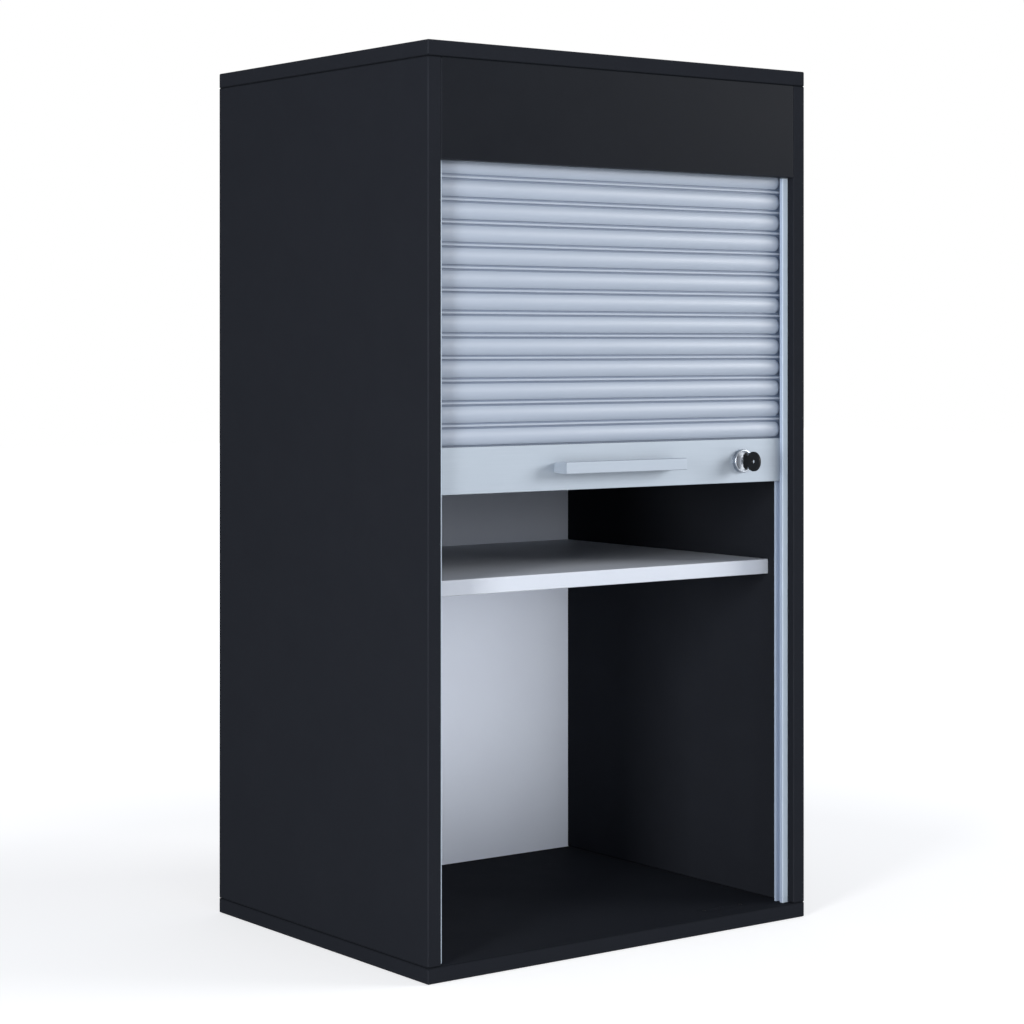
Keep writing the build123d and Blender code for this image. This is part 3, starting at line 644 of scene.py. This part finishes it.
@dataclass(frozen=True)
class TurnedBeech:
    """Beech dowel rod: pale pinkish wood with short dark flecks along its length."""

    name: str = "turned_beech"
    pale: str = "#d2a878"
    fleck: str = "#9a6b41"
    roughness: float = 0.7
    ring_mm: float = 2.0
    fleck_length_mm: float = 14.0

    def material(self) -> Material:
        """Builds the finish with grain along Z, as in the carcass dowels.

        Returns:
            The material.
        """
        material, add, place = new_material(self.name)
        across, along = 1 / (self.ring_mm * MM), 1 / (self.fleck_length_mm * MM)
        grain = add(Kind.MAPPING, {"Vector": place, "Scale": (across, across, along)})
        flecks = add(Kind.NOISE, {"Vector": grain, "Scale": 1.0, "Detail": 4.0})
        colour = add(Kind.MIX, {0: flecks, COLOUR_A: self.pale, COLOUR_B: self.fleck}, data_type="RGBA")
        shader = add(Kind.PRINCIPLED, {"Base Color": colour, "Roughness": self.roughness})
        add(Kind.MATERIAL_OUTPUT, [shader])
        return material


# The black boards have hardly any gloss. The fascia has a little more, so that its tone
# rises towards the right.
BLACK_BOARD = FacedBoard(
    "black_melamine", "#1f2126", "#26282d", "#383a40", "#191b1f", roughness=0.6, specular=0.004
)
FASCIA_BOARD = FacedBoard(
    "black_fascia_melamine", "#17191e", "#1c1f24", "#2f3238", "#121519", roughness=0.34, specular=0.022
)
PALE_BOARD = FacedBoard(
    "pale_melamine", "#cdd2db", "#c6ccd5", "#d8dce3", "#cdd2db", roughness=0.5, specular=0.25
)
# The slats are lacquered, so they shine softly, without a metal's mirror. The extrusions
# are anodised and mirror a little, the rails least. The recess colours paint shade into
# the slats' grooves and inside the rails.
SLAT_SILVER = DrawnMetal(
    "silver_slat_lacquer",
    bright="#98a2b1",
    dull="#8e99a8",
    metallic=0.0,
    roughness=0.5,
    line_mm=0.6,
    line_length_mm=140.0,
    specular=0.94,
    recess="#5d6c82",
)
BAR_SILVER = DrawnMetal("anodised_bar", "#99a2ac", "#9099a3", 0.5, 0.52, specular=0.4)
HANDLE_SILVER = DrawnMetal("anodised_handle", "#9da6b1", "#939da8", 0.3, 0.5, specular=0.4)
RAIL_SILVER = DrawnMetal(
    "anodised_rail",
    bright="#cbd9e6",
    dull="#c2cfdc",
    metallic=0.05,
    roughness=0.5,
    along=2,
    specular=0.15,
    recess="#a6b4c9",
)
LOCK_SILVER = DrawnMetal("satin_lock_face", "#c6ccd4", "#bac0c9", 0.35, 0.45, 0.4, 6.0)
CHROME = Plated("satin_chrome", "#a4aab2", "#969ca5", 0.24, 0.08)
ZINC = Plated("bright_zinc", "#b9bcc0", "#93979d", 0.28, 0.2)
BLACKENED = Plated("blackened_steel", "#2b2c2f", "#1d1e20", 0.4, 0.2)
BLACK_ABS = Moulded("black_abs", "#1b1c1e", "#232427", 0.5)
KEY_ABS = Moulded("black_key_abs", "#111214", "#17181a", 0.4, specular=0.12)


@dataclass
class Carcass:
    """Boards, back sheet, shelf and their hidden joints."""

    boards: tuple[str, ...] = (
        "top_panel", "bottom_panel", "left_side_panel", "right_side_panel", "storage_floor"
    )
    raw_layer: float = 1.0 * MM  # depth of the back sheet's raw side

    def dress(self) -> None:
        """Gives each board, the shelf, the back sheet and the dowels their finish."""
        for board in self.boards:
            dress(BLACK_BOARD.material(board), board)
        dress(FASCIA_BOARD.material("fascia_panel"), "fascia_panel")
        dress(PALE_BOARD.material("shelf"), "shelf")
        sheet = Fibreboard(
            "lacquered_hardboard",
            lacquer="#e0e7f3",
            lacquer_dark="#dae0ed",
            raw="#8a6a48",
            raw_dark="#6f5236",
            raw_from_y=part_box("back_panel")[1][1] - self.raw_layer,
        )
        dress(sheet.material(), "back_panel")
        dress(TurnedBeech().material(), "carcass_dowels", "fascia_dowels")


@dataclass
class Curtain:
    """The hanging part of the tambour curtain, one surface that keeps its slats' pitch.

    Geometry nodes give it the slats' relief, measured up from the bar, and the slats
    run out of sight behind the fascia.
    """

    pitch: float = 22.4 * MM
    dome: float = 16.4 * MM
    thickness: float = 5.3 * MM
    wall: float = 1.3 * MM
    dome_edge: float = 2.4 * MM
    bead: float = 2.8 * MM
    neck: float = 0.6 * MM
    neck_set_back: float = 1.3 * MM
    hinge_from_back: float = 1.9 * MM
    hanging: int = 15
    row_height: float = 0.16 * MM
    end_round: float = 0.3 * MM
    nose_in_rail: float = 2.4 * MM
    nose_steps: int = 8
    fixed_above_top: float = 44.0 * MM
    samples: int = 225

    def arc(self, along: np.ndarray, half: float, base: float, crown: float) -> np.ndarray:
        """Height of a circular arc over its chord.

        The radius is (half chord squared plus rise squared) over twice the rise. The
        height is the crown less the radius plus the root of radius squared less the
        distance from the middle squared.

        Args:
            along: distance from the arc's middle.
            half: half of the chord.
            base: height of the arc's ends.
            crown: height of its middle.

        Returns:
            The height at each place.
        """
        rise = crown - base
        radius = (half**2 + rise**2) / (2 * rise)
        return crown - radius + np.sqrt(np.maximum(radius**2 - along**2, 0.0))

    def profile(self) -> tuple[np.ndarray, np.ndarray, np.ndarray, np.ndarray]:
        """One pitch of the curtain's front and back, from one hinge up to the next.

        Near a hinge the round bead stands out by the root of its radius squared less
        the distance squared. A thin neck lies between the bead and the slat, set back
        so that a groove runs on both sides of the bead, whose shade is also painted in.
        The slat's face is a flat arc, and its back is hollowed by a steeper arc between
        two lips.

        Returns:
            Share of the pitch, the heights of front and back before the hinge line, and
            one where the groove is, which the slats' finish paints with shade.
        """
        share = np.linspace(0.0, 1.0, self.samples)
        up = share * self.pitch
        hinge = np.minimum(up, self.pitch - up)
        middle = np.abs(up - self.pitch / 2)
        on_bead = hinge < self.bead / 2
        bead = np.sqrt(np.maximum((self.bead / 2) ** 2 - hinge**2, 0.0))
        neck_front = self.neck / 2 - self.neck_set_back
        neck_back = -self.neck / 2 - self.neck_set_back
        on_slat = middle <= self.dome / 2
        hollow_half = self.dome / 2 - self.wall
        in_hollow = middle <= hollow_half
        crown = self.thickness - self.hinge_from_back
        face = self.arc(middle, self.dome / 2, self.dome_edge - self.hinge_from_back, crown)
        hollow = self.arc(middle, hollow_half, -self.hinge_from_back, crown - self.wall)
        joint_back = np.minimum(-bead, neck_back)
        front = np.where(on_slat, face, np.where(on_bead, bead, neck_front))
        back = np.where(in_hollow, hollow, np.where(on_slat, -self.hinge_from_back, joint_back))
        # One in the grooves, where the slats' finish paints shade.
        groove = np.where(on_slat | on_bead, 0.0, 1.0)
        return share, front, back, groove

    def sheet(self, half: np.ndarray, heights: np.ndarray, hinge_y: float, finish: Material) -> Object:
        """Makes the flat closed surface that the relief is raised from.

        Each row of points runs along the front from left to right, and back again along
        the rear. The front and the rear lie half a neck before and behind the hinge line.

        Args:
            half: places of the points on the right half of a row.
            heights: the height of each row.
            hinge_y: depth of the hinge line.
            finish: the slats' material.

        Returns:
            The surface, whose skin attribute is one on the front and zero on the rear.
        """
        side = np.concatenate([-half[::-1], half])
        rows, columns = len(heights), len(side)
        ring = 2 * columns
        skin = np.repeat([1.0, 0.0], columns)
        points = np.empty((rows, ring, 3))
        points[..., 0] = np.concatenate([side, side[::-1]])
        points[..., 1] = hinge_y + np.where(skin > 0.5, -self.neck / 2, self.neck / 2)
        points[..., 2] = heights[:, None]
        loop, cap = grid_faces(rows, ring, close=True), cap_faces(ring)
        faces = np.vstack([loop, cap[:, ::-1], cap + (rows - 1) * ring])
        end = (np.arange(len(loop)) % ring + 1) % columns == 0
        smooth = np.concatenate([~end, np.zeros(2 * len(cap), bool)])
        sheet = new_piece("tambour_curtain", points, faces, finish, smooth)
        held = sheet.data.attributes.new("skin", "FLOAT", "POINT")
        held.data.foreach_set("value", np.tile(skin, rows).astype(np.float32))
        return sheet

    def share_of_pitch(self, add: AddNode, source: Node, straight: float) -> Node:
        """Adds the nodes that find a point's place in the profile of its slat.

        The place is the fraction of the point's height above the lowest hinge, over the
        pitch. Beyond the straight part of a slat the distance from the slat's middle
        line is measured round the end of that line, so that the dome ends in a round
        nose and a flat tongue runs on into the rail.

        Args:
            add: adds a node to the relief's tree.
            source: the node that gives the surface.
            straight: half of the length over which the dome is straight.

        Returns:
            The node that gives the share of the pitch.
        """
        place = add(Kind.POSITION)
        across, _, height = add(Kind.SPLIT, [place]).outputs
        heights = {"Geometry": source, "Attribute": height}
        lowest = add(Kind.STATISTIC, heights, data_type="FLOAT").outputs["Min"]
        above = add(Kind.MATH, [height, lowest], operation="SUBTRACT")
        hinge = add(Kind.MATH, [above, self.bead / 2], operation="ADD")
        turns = add(Kind.MATH, [hinge, self.pitch], operation="DIVIDE")
        turn = add(Kind.MATH, [turns], operation="FRACT")
        aside = add(Kind.MATH, [turn, 0.5], operation="SUBTRACT")
        middle = add(Kind.MATH, [aside, self.pitch], operation="MULTIPLY")
        off = add(Kind.MATH, [middle], operation="ABSOLUTE")
        reach = add(Kind.MATH, [across], operation="ABSOLUTE")
        past = add(Kind.MATH, [reach, straight], operation="SUBTRACT")
        beyond = add(Kind.MATH, [past, 0.0], operation="MAXIMUM")
        corner = add(Kind.JOIN, {"X": off, "Y": beyond})
        round_end = add(Kind.VECTOR, [corner], operation="LENGTH")
        in_neck = self.dome / 2 + self.neck / 2
        tongue = add(Kind.MATH, [round_end, in_neck], operation="MINIMUM")
        on_slat = add(Kind.MATH, [off, self.dome / 2], operation="LESS_THAN")
        distance = add(Kind.MIX, {0: on_slat, "A": off, "B": tongue}, data_type="FLOAT")
        from_hinge = [distance, -1 / self.pitch, 0.5]
        return add(Kind.MATH, from_hinge, operation="MULTIPLY_ADD")

    def curves(self, add: AddNode, share: Node) -> list[Node]:
        """Adds the profile as curves over the share of the pitch.

        Args:
            add: adds a node to the relief's tree.
            share: the node that gives the share of the pitch.

        Returns:
            The nodes that give the heights of front and back, and one in the groove.
        """
        places, *shapes = self.profile()
        deep = self.thickness
        levels = []
        for shape, (low, high) in zip(shapes, ((-deep, deep), (-deep, deep), (0.0, 1.0))):
            curve = add(Kind.CURVE, {"Value": share})
            line = curve.mapping.curves[0]
            while len(line.points) < len(places):
                line.points.new(0.5, 0.5)
            for point, x, y in zip(line.points, places, (shape - low) / (high - low)):
                point.location = (float(x), float(y))
                point.handle_type = "VECTOR"
            curve.mapping.update()
            level = add(Kind.RANGE, [curve, 0.0, 1.0, low, high])
            levels.append(level)
        return levels

    def relief(self, straight: float) -> NodeTree:
        """Builds the nodes that raise the slats from the surface.

        Each point moves along Y by the flat skin's height less the profile's, both counted
        forwards from the hinge line.

        Args:
            straight: half of the length over which the dome is straight.

        Returns:
            The tree.
        """
        tree = bpy.data.node_groups.new("slat_relief", "GeometryNodeTree")
        for way in ("INPUT", "OUTPUT"):
            tree.interface.new_socket("Geometry", in_out=way, socket_type="NodeSocketGeometry")
        add = partial(add_node, tree)
        source = add(Kind.GROUP_INPUT)
        front, back, groove = self.curves(add, self.share_of_pitch(add, source, straight))
        skin = add(Kind.READ_ATTRIBUTE, {"Name": "skin"}, data_type="FLOAT")
        shown = add(Kind.MIX, {0: skin, "A": back, "B": front}, data_type="FLOAT")
        flat = {0: skin, "A": -self.neck / 2, "B": self.neck / 2}
        base = add(Kind.MIX, flat, data_type="FLOAT")
        shift = add(Kind.MATH, [base, shown], operation="SUBTRACT")
        offset = add(Kind.JOIN, {"Y": shift})
        # The groove attribute tells the slats' finish where to paint shade.
        marked = add(Kind.STORE_ATTRIBUTE, {"Geometry": source, "Name": "groove", "Value": groove})
        moved = add(Kind.SET_POSITION, {"Geometry": marked, "Offset": offset})
        add(Kind.GROUP_OUTPUT, [moved])
        return tree

    def build(self, finish: Material) -> None:
        """Makes the surface and its relief, in place of the hanging slats.

        The surface begins on the bar, half a bead above the lowest hinge. Over a quarter
        turn its columns stand at the sines of even angles, closest at the nose's tip.

        Args:
            finish: the slats' material.
        """
        slats = [f"slat_{n:02d}" for n in range(1, self.hanging + 1)]
        end, back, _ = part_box(slats[0])[1]
        hinge_y = back - self.hinge_from_back
        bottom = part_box("bottom_bar")[1][2]
        top = bottom + self.hanging * self.pitch
        heights = np.linspace(bottom, top, round((top - bottom) / self.row_height) + 1)
        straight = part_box("right_guide_rail")[0][0] + self.nose_in_rail - self.dome / 2
        nose = straight + self.dome / 2 * np.sin(np.linspace(0.0, math.pi / 2, self.nose_steps))
        half = np.concatenate([nose, [end - self.end_round, end]])
        curtain = self.sheet(half, heights, hinge_y, finish)
        curtain.modifiers.new("slat_relief", "NODES").node_group = self.relief(straight)
        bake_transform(curtain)
        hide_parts(*slats)


@dataclass
class Shutter:
    """Curtain, stored slats, bar, handle, rails and track."""

    # Behind the rail's front the rail finish paints shade into the rail's recess.
    rail_face: float = 0.8 * MM  # how deep the bright front of a rail goes round its lip

    def build(self) -> None:
        """Builds the curtain and dresses what carries it."""
        slats = SLAT_SILVER.material()
        Curtain().build(slats)
        dress(slats, "slats_on_front_bend", "slats_on_top_run", "slats_on_rear_bend")
        dress(BAR_SILVER.material(), "bottom_bar")
        dress(HANDLE_SILVER.material(), "handle")
        rail_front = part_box("left_guide_rail")[0][1]
        # The rails' recess colour is painted shade inside each rail.
        rails = RAIL_SILVER.material(rail_front + self.rail_face)
        dress(rails, "left_guide_rail", "right_guide_rail")
        plastic = BLACK_ABS.material()
        dress(plastic, "left_track_plate", "right_track_plate", "left_bar_glide", "right_bar_glide")


@dataclass(frozen=True)
class ScrewSize:
    """The sizes of a countersunk screw."""

    head: float
    shank: float
    length: float


SHEET_SCREW = ScrewSize(5.6 * MM, 3.0 * MM, 16.0 * MM)
FLOOR_SCREW = ScrewSize(5.6 * MM, 3.0 * MM, 14.0 * MM)
STRIKE_SCREW = ScrewSize(4.4 * MM, 2.5 * MM, 9.0 * MM)


@dataclass
class Screws:
    """A set of countersunk screws with cross recesses.

    Hub, wings and recess are shares of the head's radius, and the tip is one of the
    shank's. The twist is the angle by which each screw is turned past the one before.
    """

    node: str
    body: str
    spots: np.ndarray
    facing: Facing
    size: ScrewSize
    rings: int = 14
    spokes: int = 40
    hub: float = 0.02
    tip: float = 0.05
    wing_reach: float = 0.62
    wing_half: float = 0.2
    wing_slope: float = 0.07
    recess_depth: float = 0.5
    recess_fall: float = 0.7
    twist: float = 0.61

    def head_profile(self) -> tuple[np.ndarray, np.ndarray, np.ndarray]:
        """Radius, turn and height of one screw, from the middle of the recess to the tip.

        Outwards over the face, down the cone of the head at 45 degrees, then down the
        shank to its end. The recess is two crossed wings, deepest in the middle, whose
        depth falls off towards each wing's end and its sides.

        Returns:
            Three grids, rings by spokes, with height counted outwards from the face.
        """
        top, stem, end = self.size.head / 2, self.size.shank / 2, -self.size.length
        face = np.linspace(self.hub, 1.0, self.rings) * top
        radius = np.concatenate([face, [stem, stem, stem * self.tip]])
        height = np.concatenate([np.zeros(self.rings), [stem - top, end, end]])
        turn = np.linspace(0.0, 2 * math.pi, self.spokes, endpoint=False)
        r, t = np.meshgrid(radius, turn, indexing="ij")
        z = np.repeat(height[:, None], self.spokes, axis=1)
        along = np.maximum(np.abs(np.cos(t)), np.abs(np.sin(t))) * r
        aside = np.minimum(np.abs(np.cos(t)), np.abs(np.sin(t))) * r
        reach = np.clip(1 - along / (self.wing_reach * top), 0, 1)
        wing = np.clip((self.wing_half * top - aside) / (self.wing_slope * top), 0, 1)
        recess = self.recess_depth * top * reach**self.recess_fall * wing
        z[: self.rings] -= recess[: self.rings]
        return r, t, z

    def build(self, finish: Material) -> None:
        """Makes all the screws of the set as one piece.

        Args:
            finish: the screws' material.
        """
        r, t, z = self.head_profile()
        out = np.array(self.facing.value)
        right = np.array((1.0, 0.0, 0.0))
        up = np.cross(out, right)
        number = np.arange(len(self.spots))[:, None, None]
        angle = t[None] + number * self.twist
        spread = np.cos(angle)[..., None] * right + np.sin(angle)[..., None] * up
        points = self.spots[:, None, None, :] + r[None, ..., None] * spread
        points = points + z[None, ..., None] * out
        rows, columns = r.shape
        cap = cap_faces(columns)
        tip = cap + (rows - 1) * columns
        one = np.vstack([grid_faces(rows, columns, close=True), cap[:, ::-1], tip])
        faces = (one[None] + number * rows * columns).reshape(-1, 4)[:, ::-1]
        piece = new_piece(f"{self.node}_cross", points, faces, finish)
        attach(piece, self.body)
        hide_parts(self.node)


@dataclass
class Fasteners:
    """All the screws and pins, and the strike plate."""

    back_rows: int = 4
    back_columns: int = 3
    back_margin: float = 86.0 * MM
    back_end_margin: float = 86.0 * MM
    back_edge: float = 12.0 * MM
    floor_rows: int = 3

    def back_spots(self) -> np.ndarray:
        """Places of the back sheet's screws: a row down each side, and along both ends.

        Returns:
            One row of x, y, z for each screw.
        """
        half, _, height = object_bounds()[1]
        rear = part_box("back_panel")[1][1]
        rows = np.linspace(self.back_margin, height - self.back_margin, self.back_rows)
        reach = half - self.back_end_margin
        columns = np.linspace(-reach, reach, self.back_columns)
        sides = [(s * (half - self.back_edge), rear, z) for s in (-1, 1) for z in rows]
        ends = [(x, rear, z) for z in (self.back_edge, height - self.back_edge) for x in columns]
        return np.array(sides + ends)

    def floor_spots(self) -> np.ndarray:
        """Places of the head floor's screws: a row at each side, on its underside.

        Returns:
            One row of x, y, z for each screw.
        """
        low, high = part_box("floor_screws")
        inset = FLOOR_SCREW.head / 2
        rows = np.linspace(low[1] + inset, high[1] - inset, self.floor_rows)
        return np.array([(x, y, low[2]) for x in (low[0] + inset, high[0] - inset) for y in rows])

    def strike_spots(self) -> np.ndarray:
        """Places of the strike plate's screws: one at each end.

        Returns:
            One row of x, y, z for each screw.
        """
        low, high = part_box("strike_screws")
        inset, middle = STRIKE_SCREW.head / 2, (low[1] + high[1]) / 2
        return np.array([(x, middle, high[2]) for x in (low[0] + inset, high[0] - inset)])

    def build(self, zinc: Material) -> None:
        """Builds the screws that show and dresses the rest.

        Args:
            zinc: the material of the zinc-plated ones.
        """
        dark = BLACKENED.material()
        for node, spots, facing, size, finish in (
            ("back_screws", self.back_spots(), Facing.BACK, SHEET_SCREW, zinc),
            ("floor_screws", self.floor_spots(), Facing.DOWN, FLOOR_SCREW, zinc),
            ("strike_screws", self.strike_spots(), Facing.UP, STRIKE_SCREW, dark),
        ):
            Screws(node, "cabinet", spots, facing, size).build(finish)
        dress(zinc, "shelf_pins", "track_screws", "handle_screws")
        dress(BLACK_BOARD.material("strike_plate"), "strike_plate")


@dataclass
class Lock:
    """Cylinder lock and its key.

    The depths of the cuts are shares of the deepest one, and the first cut's place and a
    cut's half width are shares of the cuts' pitch. The flute's floor is a share of the
    blade's half thickness, and its half widths are shares of the half height.
    """

    stations: int = 60
    cut_depth: float = 1.5 * MM
    cut_pitch: float = 2.6 * MM
    cut_depths: tuple[float, ...] = (0.8, 0.35, 1.0, 0.55)
    first_cut: float = 1.25
    cut_half: float = 0.55
    point: float = 2.6 * MM
    point_taper: float = 0.72
    flute_floor: float = 0.62
    flute_half: float = 0.12
    flute_edge: float = 0.25

    def blade(self, finish: Material) -> None:
        """Makes the key's blade: a flat strip with cuts in both edges and a milled flute.

        The strip's half height is the full one less a row of V cuts, each deepest at
        its own middle and as deep as its place in the row says. Towards the point it
        tapers. Its section has a shallow flute along the middle of each side.

        Args:
            finish: the blade's material.
        """
        low, high = (np.array(corner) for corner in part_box("key_blade"))
        middle, half = (low + high) / 2, (high - low) / 2
        y = np.linspace(low[1], high[1], self.stations)
        depth = high[1] - y
        depths = np.array(self.cut_depths)
        centres = (np.arange(len(depths)) + self.first_cut) * self.cut_pitch
        away = np.abs(depth[:, None] - centres)
        vee = np.clip(1 - away / (self.cut_half * self.cut_pitch), 0, 1)
        full = half[2] * (1 - self.point_taper * np.clip(1 - depth / self.point, 0, 1))
        upper = full - (vee * depths).max(1) * self.cut_depth
        lower = full - (vee * depths[::-1]).max(1) * self.cut_depth
        side = np.array([1, 1, self.flute_floor])
        rise = np.array([1, self.flute_edge, self.flute_half])
        ring = np.stack([np.r_[side, side[::-1]], np.r_[-rise, rise[::-1]]], -1)
        ring = np.vstack([ring, -ring])
        reach = np.where(ring[None, :, 1] > 0, upper[:, None], lower[:, None])
        points = np.empty((self.stations, len(ring), 3))
        points[..., 0] = middle[0] + ring[:, 0] * half[0]
        points[..., 1] = y[:, None]
        points[..., 2] = middle[2] + reach * ring[None, :, 1]
        loop = grid_faces(self.stations, len(ring), close=True)[:, ::-1]
        cap = cap_faces(len(ring))
        far = cap[:, ::-1] + (self.stations - 1) * len(ring)
        piece = new_piece("key_blade_cut", points, np.vstack([loop, cap, far]), finish)
        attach(piece, "key")
        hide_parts("key_blade")

    def build(self, zinc: Material) -> None:
        """Builds the blade and dresses the lock.

        Args:
            zinc: the material of the zinc-plated pieces.
        """
        dress(CHROME.material(), "lock_ring")
        dress(LOCK_SILVER.material(), "lock_housing", "lock_plug")
        dress(zinc, "lock_nut", "lock_hook", "hook_screw")
        dress(KEY_ABS.material(), "key_bow")
        self.blade(zinc)


@dataclass(frozen=True)
class Softbox:
    """A rectangular lamp, hidden from the camera, in watts, metres and degrees."""

    name: str
    place: Point
    size: tuple[float, float]
    power: float
    target: Point = (0.0, 0.0, 0.46)  # the cabinet's middle
    spread: float = 180.0

    def add(self) -> None:
        """Adds the lamp to the scene, turned to its target."""
        data = bpy.data.lights.new(self.name, "AREA")
        data.shape = "RECTANGLE"
        data.size, data.size_y = self.size
        data.energy = self.power
        data.spread = math.radians(self.spread)
        lamp = bpy.data.objects.new(self.name, data)
        lamp.location = self.place
        lamp.rotation_mode = "QUATERNION"
        towards = Vector(self.target) - Vector(self.place)
        lamp.rotation_quaternion = towards.to_track_quat("-Z", "Y")
        lamp.visible_camera = False
        bpy.context.scene.collection.objects.link(lamp)


@dataclass
class Studio:
    """Camera, pale floor and soft light.

    The small lamp in the doorway stands for the light that a white studio floor throws
    into the cabinet.
    """

    camera_at: Point = (-1.6694, -2.2305, 0.6209)
    camera_along: Point = (0.59962, 0.80028, 0.0)
    lens_mm: float = 89.58
    sensor_mm: float = 36.0
    shift_up: float = -0.1617
    ambient: float = 0.46
    surround: str = "#e7eefb"
    white: str = "#ffffff"
    floor_colour: str = "#cbcbcb"
    floor_roughness: float = 0.9
    floor_glow: float = 0.58
    floor_near: float = 0.7
    floor_far: float = 2.2
    floor_half: float = 12.0
    floor_lines: int = 9
    floor_below: float = 0.5 * MM
    lamps: tuple[Softbox, ...] = (
        Softbox("left_softbox", (-2.73, -1.41, 0.77), (0.6, 1.6), 74.0),
        Softbox("right_softbox", (4.86, -3.36, 2.01), (2.8, 1.8), 235.0),
        Softbox("front_fill", (-0.44, -3.36, 0.68), (1.6, 0.7), 11.0),
        Softbox("doorway_fill", (0.04, -0.14, 0.2), (0.38, 0.3), 0.2, (0.06, 0.2, 0.22), 76.0),
    )

    def camera(self) -> None:
        """Sets the level camera of the photograph, with its frame shifted down."""
        data = bpy.data.cameras.new("photo_camera")
        data.lens, data.sensor_width = self.lens_mm, self.sensor_mm
        data.shift_y = self.shift_up
        camera = bpy.data.objects.new("photo_camera", data)
        camera.location = self.camera_at
        camera.rotation_mode = "QUATERNION"
        camera.rotation_quaternion = Vector(self.camera_along).to_track_quat("-Z", "Y")
        bpy.context.scene.collection.objects.link(camera)
        bpy.context.scene.camera = camera

    def looks_on(self, add: AddNode) -> Node:
        """Tells the rays that look at the backdrop from those that light the cabinet.

        Args:
            add: adds a node to the tree that needs to know.

        Returns:
            The node that gives one for rays of the camera and those that a surface
            mirrors or lets through.
        """
        rays = add(Kind.LIGHT_PATH).outputs
        seen: NodeSocket | Node = rays["Is Camera Ray"]
        for ray in ("Is Glossy Ray", "Is Transmission Ray"):
            either = [seen, rays[ray]]
            seen = add(Kind.MATH, either, operation="ADD", use_clamp=True)
        return seen

    def world(self) -> None:
        """Sets an even cool surround that the camera and the gloss see as white."""
        world = bpy.data.worlds.new("studio")
        bpy.context.scene.world = world
        world.use_nodes = True
        world.node_tree.nodes.clear()
        add = partial(add_node, world.node_tree)
        seen = self.looks_on(add)
        level = add(Kind.RANGE, [seen, 0.0, 1.0, self.ambient, 1.0])
        tint = add(Kind.MIX, {0: seen, COLOUR_A: self.surround, COLOUR_B: self.white}, data_type="RGBA")
        light = add(Kind.BACKGROUND, {"Color": tint, "Strength": level})
        add(Kind.WORLD_OUTPUT, [light])

    def floor(self) -> None:
        """Lays a pale matt floor that keeps the cabinet's shadow.

        The camera and the gloss see a glow on it which rises with the distance from the
        cabinet, so that the floor runs into the white surround with no line. It adds no
        diffuse light.
        """
        material, add, place = new_material("pale_floor")
        seen = self.looks_on(add)
        away = add(Kind.VECTOR, [place], operation="LENGTH")
        rising = add(Kind.RANGE, [away, self.floor_near, self.floor_far, self.floor_glow])
        glow = add(Kind.RANGE, [seen, 0.0, 1.0, 0.0, rising])
        shader = add(
            Kind.PRINCIPLED,
            {
                "Base Color": self.floor_colour,
                "Roughness": self.floor_roughness,
                "Specular IOR Level": 0.0,
                "Emission Color": self.white,
                "Emission Strength": glow,
            },
        )
        add(Kind.MATERIAL_OUTPUT, [shader])
        lines = np.linspace(-self.floor_half, self.floor_half, self.floor_lines)
        x, y = np.meshgrid(lines, lines)
        points = np.stack([x, y, np.full_like(x, -self.floor_below)], -1)
        floor = new_piece("pale_floor", points, grid_faces(*x.shape), material)
        floor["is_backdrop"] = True

    def build(self) -> None:
        """Sets the camera, the floor and the lights."""
        bpy.context.scene.view_settings.view_transform = "Standard"
        self.camera()
        self.floor()
        self.world()
        for lamp in self.lamps:
            lamp.add()


def main() -> None:
    """Loads the frame and builds the cabinet's looks on it."""
    logging.basicConfig(level=logging.INFO, format="%(name)s: %(message)s")
    FRAME.update(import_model())
    zinc = ZINC.material()
    Carcass().dress()
    Shutter().build()
    Fasteners().build(zinc)
    Lock().build(zinc)
    Studio().build()


if __name__ == "__main__":
    main()
